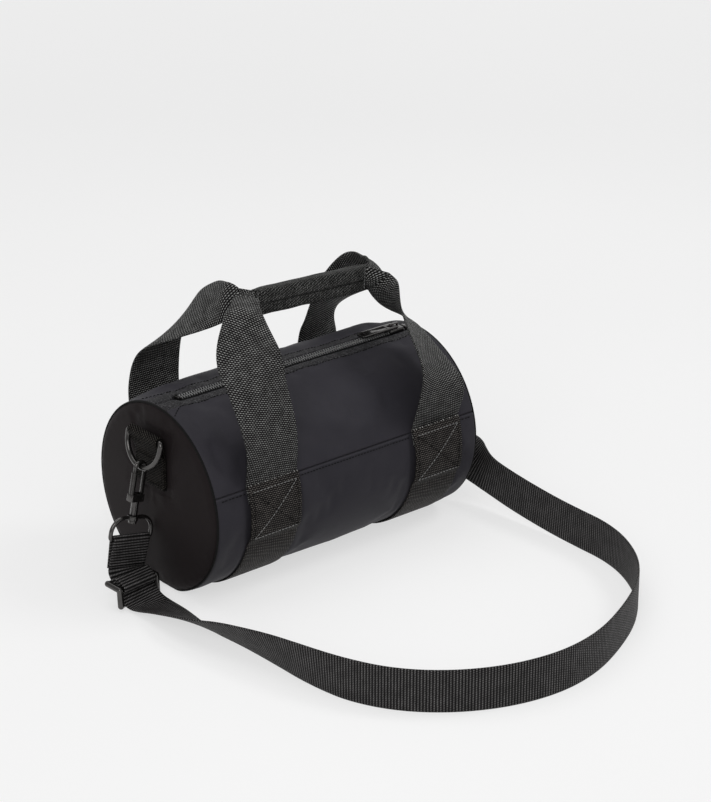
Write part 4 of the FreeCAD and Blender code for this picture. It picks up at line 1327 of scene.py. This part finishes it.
def make_grip():
    """A wrap of webbing sewn round both handles: a flattened sleeve with lumps where the folds lie under it."""
    out = Vector((0, -1, 0))
    points = []
    weave = []
    for i in range(GRIP_RINGS + 1):
        t = 2 * i / GRIP_RINGS - 1
        pinch = 1 - GRIP_PINCH * ease((abs(t) - 1 + PINCHED) / PINCHED)
        for k in range(GRIP_SIDES):
            angle = 2 * pi * k / GRIP_SIDES
            c, s = cos(angle), sin(angle)
            norm = (abs(c) ** GRIP_CORNER + abs(s) ** GRIP_CORNER) ** (1 / GRIP_CORNER)
            place = Vector((t * LUMP_SCALES[0], c * LUMP_SCALES[1], s * LUMP_SCALES[1] + 4))
            lump = 1 + GRIP_LUMPS * noise.noise(place)
            spot = out * (GRIP_HALF_Y * c / norm * lump * pinch) + GRIP_UP * (GRIP_HALF_Z * s / norm * lump)
            points.append(GRIP_CENTRE + GRIP_ALONG * (t * GRIP_HALF) + spot)
            weave.append((angle * WRAP_WEAVE, t * GRIP_HALF * MM))
    faces = grid_faces(GRIP_RINGS + 1, GRIP_SIDES, wrap_columns=True)
    piece = thicken(add_mesh("grip", points, faces, GRIP_WEB, weave), WRAP_THICKNESS)
    finish_piece(piece, "grip", "grip_wrap", "handle_grip")
    rows = []
    for end in (-1, 1):
        foot = GRIP_CENTRE + GRIP_ALONG * (end * GRIP_SEWN * GRIP_HALF) + out * (GRIP_HALF_Y * SEWN_DEPTH)
        rows.append([(foot + GRIP_UP * (GRIP_HALF_Z * SEWN_HEIGHT * (k / SEWN_STEPS - 1)), out)
                     for k in range(2 * SEWN_STEPS + 1)])
    stitches("grip_sewing", rows, GREY_THREAD, GRIP_SEWING, "grip", "grip_wrap")


make_grip()


# Ring tabs

TAB_THICKNESS = 0.0016
TAB_FRONT = 0.1444
TAB_THREAD_LIFT = 0.00015
TAB_SEWN = 0.0025            # how far the sewing stays from the tab's edges
TAB_HEAD = 0.004
TAB_STEPS = 12
RING_BAR = Vector((0.147242, 0, 0.135))
RING_WIRE = 0.00225
RUN_GAP = 0.0003
LOOP_STEPS = 8


def loop_line(bar, run, across, length, wire, thickness):
    """Middle line of webbing folded round a bar and laid together: run points from the bar to the ends."""
    seat = bar + run * length
    apart = across * (thickness / 2 + LAY_GAP / 2)
    radius = wire + RUN_GAP + thickness / 2
    swing = acos(min(1, radius / length))

    def at(angle):
        return bar + run * (radius * cos(angle)) + across * (radius * sin(angle))

    line = [(seat + apart).lerp(at(swing), k / LOOP_STEPS) for k in range(LOOP_STEPS)]
    for k in range(3 * LOOP_STEPS + 1):
        line.append(at(swing + (2 * pi - 2 * swing) * k / (3 * LOOP_STEPS)))
    return line + [at(-swing).lerp(seat - apart, k / LOOP_STEPS) for k in range(1, LOOP_STEPS + 1)]


def ring_tab(name, side):
    reach = Vector(((TAB_BACK + TAB_FRONT) / 2, 0, TAB_TOP)) - RING_BAR
    run = reach.normalized()
    line = loop_line(RING_BAR, run, Vector((run.z, 0, -run.x)), reach.length, RING_WIRE, TAB_THICKNESS)
    first, last = line[0], line[-1]
    low_first, low_last = (Vector((p.x, 0, TAB_BOTTOM)) for p in (first, last))
    line = [low_first.lerp(first, k / TAB_STEPS) for k in range(TAB_STEPS)] + line
    line += [last.lerp(low_last, k / TAB_STEPS) for k in range(1, TAB_STEPS + 1)]
    stations = [(Vector((side * p.x, 0, p.z)), Vector((0, TAB_HALF, 0))) for p in line]
    piece = band(name + "_tab", stations, TAB_THICKNESS, TAB_WEB)
    finish_piece(piece, "bag", "handle_webbing", name + "_ring_tab")
    face = side * (TAB_FRONT + TAB_THREAD_LIFT)
    edge = TAB_HALF - TAB_SEWN
    low, high = TAB_BOTTOM + TAB_SEWN, TAB_TOP - TAB_HEAD
    corners = [(-edge, low), (edge, low), (edge, high), (-edge, high)]
    rows = [[(Vector((face, *place)), Vector((side, 0, 0))) for place in straight(a, b, TAB_STEPS)]
            for a, b in zip(corners, corners[1:] + corners[:1])]
    stitches(name + "_tab_sewing", rows, DARK_THREAD, TAB_SEWING, "bag", "handle_webbing")


for side_name, side in SIDES.items():
    ring_tab(side_name, side)


# Shoulder strap: its line is a smooth spline through the route, and its width turns along it

STRAP_WIDTH = 0.035
STRAP_THICKNESS = 0.0016
EYE_BAR = Vector((0.165279, 0, 0.050146))
EYE_WIRE = 0.00175
HOOK_TILT = radians(12)
HUNG_OUT = Vector((cos(HOOK_TILT), 0, sin(HOOK_TILT)))
HUNG_DOWN = Vector((sin(HOOK_TILT), 0, -cos(HOOK_TILT)))
LEFT_LOOP = 0.024
RIGHT_LOOP = 0.016
TURN_SCALE = 1000            # degrees to the metre, for the spline of the turns
# x, y, height of the strap's middle line and the turn of its width up from level, in degrees
LEFT_ROUTE = [
    (-0.1703, -0.0009, 0.0266, 12), (-0.1709, -0.0009, 0.0236, 12), (-0.1703, -0.0064, 0.0176, 9),
    (-0.1694, -0.0135, 0.0103, 5), (-0.1685, -0.0205, 0.0036, 0),
    (-0.1668, -0.0320, 0.0025, 4), (-0.1662, -0.0480, 0.0047, 12), (-0.1672, -0.0660, 0.0073, 21),
    (-0.1682, -0.0840, 0.0100, 31), (-0.1665, -0.1040, 0.0122, 40), (-0.1622, -0.1240, 0.0143, 50),
    (-0.1586, -0.1500, 0.0161, 60), (-0.1552, -0.1740, 0.0172, 70), (-0.1524, -0.1990, 0.0179, 79),
    (-0.1480, -0.2230, 0.0180, 85), (-0.1420, -0.2450, 0.0180, 90), (-0.1290, -0.2720, 0.0180, 90),
    (-0.1090, -0.2960, 0.0180, 90), (-0.0810, -0.3170, 0.0180, 90), (-0.0470, -0.3320, 0.0180, 90),
    (-0.0073, -0.3387, 0.0180, 90),
]
RIGHT_ROUTE = [
    (0.0325, -0.3336, 0.0180, 90), (0.0712, -0.3183, 0.0180, 90), (0.1090, -0.2978, 0.0180, 90),
    (0.1399, -0.2713, 0.0180, 90), (0.1612, -0.2355, 0.0180, 90), (0.1700, -0.2030, 0.0180, 90),
    (0.1700, -0.1720, 0.0182, 90), (0.1690, -0.1460, 0.0195, 90), (0.1680, -0.1180, 0.0222, 90),
    (0.1670, -0.0900, 0.0258, 90), (0.1663, -0.0640, 0.0305, 90), (0.1659, -0.0480, 0.0362, 76),
    (0.1652, -0.0360, 0.0420, 48), (0.1644, -0.0260, 0.0470, 18), (0.1651, -0.0163, 0.0493, 12),
    (0.1652, -0.0135, 0.0493, 12),
]


def spline_points(points):
    """Points along a smooth spline that has these as its control points."""
    curve = bpy.data.curves.new("route", "CURVE")
    curve.dimensions = "3D"
    line = curve.splines.new("NURBS")
    line.points.add(len(points) - 1)
    for knot, point in zip(line.points, points):
        knot.co = (*point, 1)
    line.order_u = 3
    line.use_endpoint_u = True
    line.resolution_u = 10
    holder = add_object("route", curve)
    mesh = bpy.data.meshes.new_from_object(holder)
    found = [v.co.copy() for v in mesh.vertices]
    bpy.data.objects.remove(holder)
    bpy.data.curves.remove(curve)
    bpy.data.meshes.remove(mesh)
    return found


strap_route = LEFT_ROUTE + RIGHT_ROUTE
strap_line = spline_points([row[:3] for row in strap_route])
strap_turns = spline_points([(row[3] / TURN_SCALE, 0, 0) for row in strap_route])
foremost = min(range(len(strap_line)), key=lambda i: strap_line[i].y)


def strap_half(name, line, turns, outward, weave_start):
    stations = []
    for i, (point, turn) in enumerate(zip(line, turns)):
        run = run_at(line, i)
        angle = radians(turn.x * TURN_SCALE)
        half = Vector((outward * cos(angle), 0, sin(angle)))
        half = (half - run * half.dot(run)).normalized() * (STRAP_WIDTH / 2)
        stations.append((point, half))
    length = sum((b - a).length for a, b in zip(line, line[1:]))
    piece = band(name, stations, STRAP_THICKNESS, STRAP_WEB, weave_start)
    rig.slot(piece, "strap_webbing")
    return piece, line, length


left_strap, left_line, left_length = strap_half(
    "left_strap", strap_line[:foremost + 1], strap_turns[:foremost + 1], -1, 0.0)
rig.replaces(left_strap, "strap_left_drop", "strap_left_twist", "strap_floor_run")
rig.blend(left_strap, "left_clip", "bag", start=(-0.1668, -0.034, 0.0025), end=(-0.142, -0.245, 0.018))
right_strap, right_line, right_length = strap_half(
    "right_strap", strap_line[foremost:], strap_turns[foremost:], 1, left_length)
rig.replaces(right_strap, "strap_right_rise", "strap_right_turn")
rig.blend(right_strap, "bag", "right_clip", start=(0.170, -0.203, 0.018), end=(0.1659, -0.048, 0.0361))


def strap_loop(name, body, bar, run, across, length, wire, stands_for, width):
    """Webbing folded round a bar and sewn flat: run points from the bar to the sewn end, width across the webbing."""
    line = loop_line(bar, run, across, length, wire, STRAP_THICKNESS)
    piece = band(name, [(p, width * (STRAP_WIDTH / 2)) for p in line], STRAP_THICKNESS, STRAP_WEB)
    finish_piece(piece, body, "strap_webbing", stands_for)


left_bar, left_down, left_out = (Vector((-v.x, 0, v.z)) for v in (EYE_BAR, HUNG_DOWN, HUNG_OUT))
strap_loop("left_loop", "left_clip", left_bar, left_down, Vector((0, 1, 0)), LEFT_LOOP, EYE_WIRE, "left_strap_loop",
           left_out)
strap_loop("right_loop", "right_clip", EYE_BAR, Vector((0, -1, 0)), HUNG_DOWN, RIGHT_LOOP, EYE_WIRE,
           "right_strap_loop", HUNG_OUT)

ADJUSTER_BAR = 0.002
ADJUSTER_DISTANCE = 0.014
ADJUSTER_RISE = 0.0054
TAIL_LOOP = 0.010
DROP_START = Vector((-0.170997, -0.0008, 0.023247))
DROP_END = Vector((-0.1685, -0.0205, 0.0032))
drop_run = (DROP_END - DROP_START).normalized()
drop_half = (left_out - drop_run * left_out.dot(drop_run)).normalized()
drop_up = drop_half.cross(drop_run).normalized()
tail_bar = DROP_START + drop_run * ADJUSTER_DISTANCE + drop_up * ADJUSTER_RISE
strap_loop("strap_end", "left_clip", tail_bar, -drop_run, drop_up, TAIL_LOOP, ADJUSTER_BAR, "strap_tail", drop_half)

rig.cord(left_strap, exit=left_line[0], length=left_length, diameter=STRAP_WIDTH, far_end="object", stiffness="medium",
        path=left_line)
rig.cord(right_strap, exit=right_line[-1], length=right_length, diameter=STRAP_WIDTH, far_end="object",
        stiffness="medium", path=right_line[::-1])


# Metal pieces keep their CAD shapes, with softened edges

HARDWARE = ["zip_end_stops", "zip_slider", "zip_pull", "strap_adjuster"]
for side_name in SIDES:
    HARDWARE += [f"{side_name}_{piece}" for piece in
                 ("d_ring", "hook_body", "hook_gate", "gate_pin", "gate_spring", "swivel_eye")]
EDGE_SOFTENING = 0.00035
EDGE_ANGLE = radians(40)
WELDING = 0.00001
for name in HARDWARE:
    piece = nodes[name]
    piece.data.materials.clear()
    piece.data.materials.append(BLACK_NICKEL)
    weld = piece.modifiers.new("weld", "WELD")
    weld.merge_threshold = WELDING
    bevel = piece.modifiers.new("edges", "BEVEL")
    bevel.width = EDGE_SOFTENING
    bevel.segments = 2
    bevel.limit_method = "ANGLE"
    bevel.angle_limit = EDGE_ANGLE
    piece.data.shade_smooth()


# Floor, light and camera

FLOOR_GLOW = 0.61            # seen by the camera and in the metal, and no light on the bag
FLOOR_AWAY = Vector((0.641, 0.767, 0))
FLOOR_RIGHT = Vector((0.767, -0.641, 0))
FLOOR_NEAR = -4.0
FLOOR_FAR = 1.2              # from here the floor curves up into the wall
FLOOR_HALF = 5.0
CURVE_RADIUS = 1.0
CURVE_STEPS = 12
WALL_TOP = 4.0
WORLD_STRENGTH = 0.42
VIEW_AZIMUTH = radians(-39.9)
VIEW_ELEVATION = radians(23.2)
VIEW_DISTANCE = 2.2
VIEW_TARGET = Vector((0.0702, 0, 0.105))
LENS = 116.7
SENSOR = 36


def make_stage():
    shader = Shader("sweep")
    shader.set(Base_Color=shader.ramp(shader.noise(1.5, 1), (0.3, grey(0.36)), (0.7, grey(0.38))))
    path = shader.node("LightPath").outputs
    seen = shader.math("MAXIMUM", path["Is Camera Ray"], path["Is Glossy Ray"])
    seen = shader.math("MAXIMUM", seen, path["Is Transmission Ray"])
    shader.set(Roughness=0.9, Specular_IOR_Level=0.1, Emission_Color=(1, 1, 1, 1))
    shader.set(Emission_Strength=shader.times(seen, FLOOR_GLOW))
    profile = [(FLOOR_NEAR, 0.0)]
    for k in range(CURVE_STEPS + 1):
        angle = pi / 2 * k / CURVE_STEPS
        profile.append((FLOOR_FAR + CURVE_RADIUS * sin(angle), CURVE_RADIUS * (1 - cos(angle))))
    profile.append((FLOOR_FAR + CURVE_RADIUS, WALL_TOP))
    points = [FLOOR_AWAY * along + FLOOR_RIGHT * side + Vector((0, 0, height))
              for along, height in profile for side in (-FLOOR_HALF, FLOOR_HALF)]
    sweep = add_mesh("sweep", points, grid_faces(len(profile), 2), shader.material)
    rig.stage(sweep)


def make_world():
    world = bpy.data.worlds.new("studio")
    world.use_nodes = True
    background = world.node_tree.nodes["Background"]
    background.inputs[0].default_value = (1, 1, 1, 1)
    background.inputs[1].default_value = WORLD_STRENGTH
    bpy.context.scene.world = world


def set_up(name, made, place, facing):
    """Puts a light or a camera at its place, facing that way."""
    holder = add_object(name, made)
    holder.location = place
    holder.rotation_euler = facing.to_track_quat("-Z", "Y").to_euler()
    return holder


def add_light(name, place, aim, size, power):
    lamp = bpy.data.lights.new(name, "AREA")
    lamp.shape = "DISK"
    lamp.size = size
    lamp.energy = power
    set_up(name, lamp, place, Vector(aim) - Vector(place))


def make_camera():
    camera = bpy.data.cameras.new("camera")
    camera.lens = LENS
    camera.sensor_width = SENSOR
    back = Vector((sin(VIEW_AZIMUTH) * cos(VIEW_ELEVATION),
                   -cos(VIEW_AZIMUTH) * cos(VIEW_ELEVATION), sin(VIEW_ELEVATION)))
    bpy.context.scene.camera = set_up("camera", camera, VIEW_TARGET + back * VIEW_DISTANCE, -back)


make_stage()
make_world()
add_light("key", (1.3, -0.9, 1.9), (0, -0.05, 0.1), 0.8, 11)
add_light("fill", (-1.7, -1.4, 1.5), (0, 0, 0.1), 1.6, 17.5)
add_light("top", (-0.1, 0.4, 2.2), (0, 0, 0.1), 1.8, 9)
make_camera()
bpy.context.scene.view_settings.view_transform = "Standard"

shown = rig.bounds()
with open("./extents.json", "w") as size_file:
    json.dump({"cad": [list(c) for c in cad_box], "visual": [list(c) for c in shown]}, size_file)
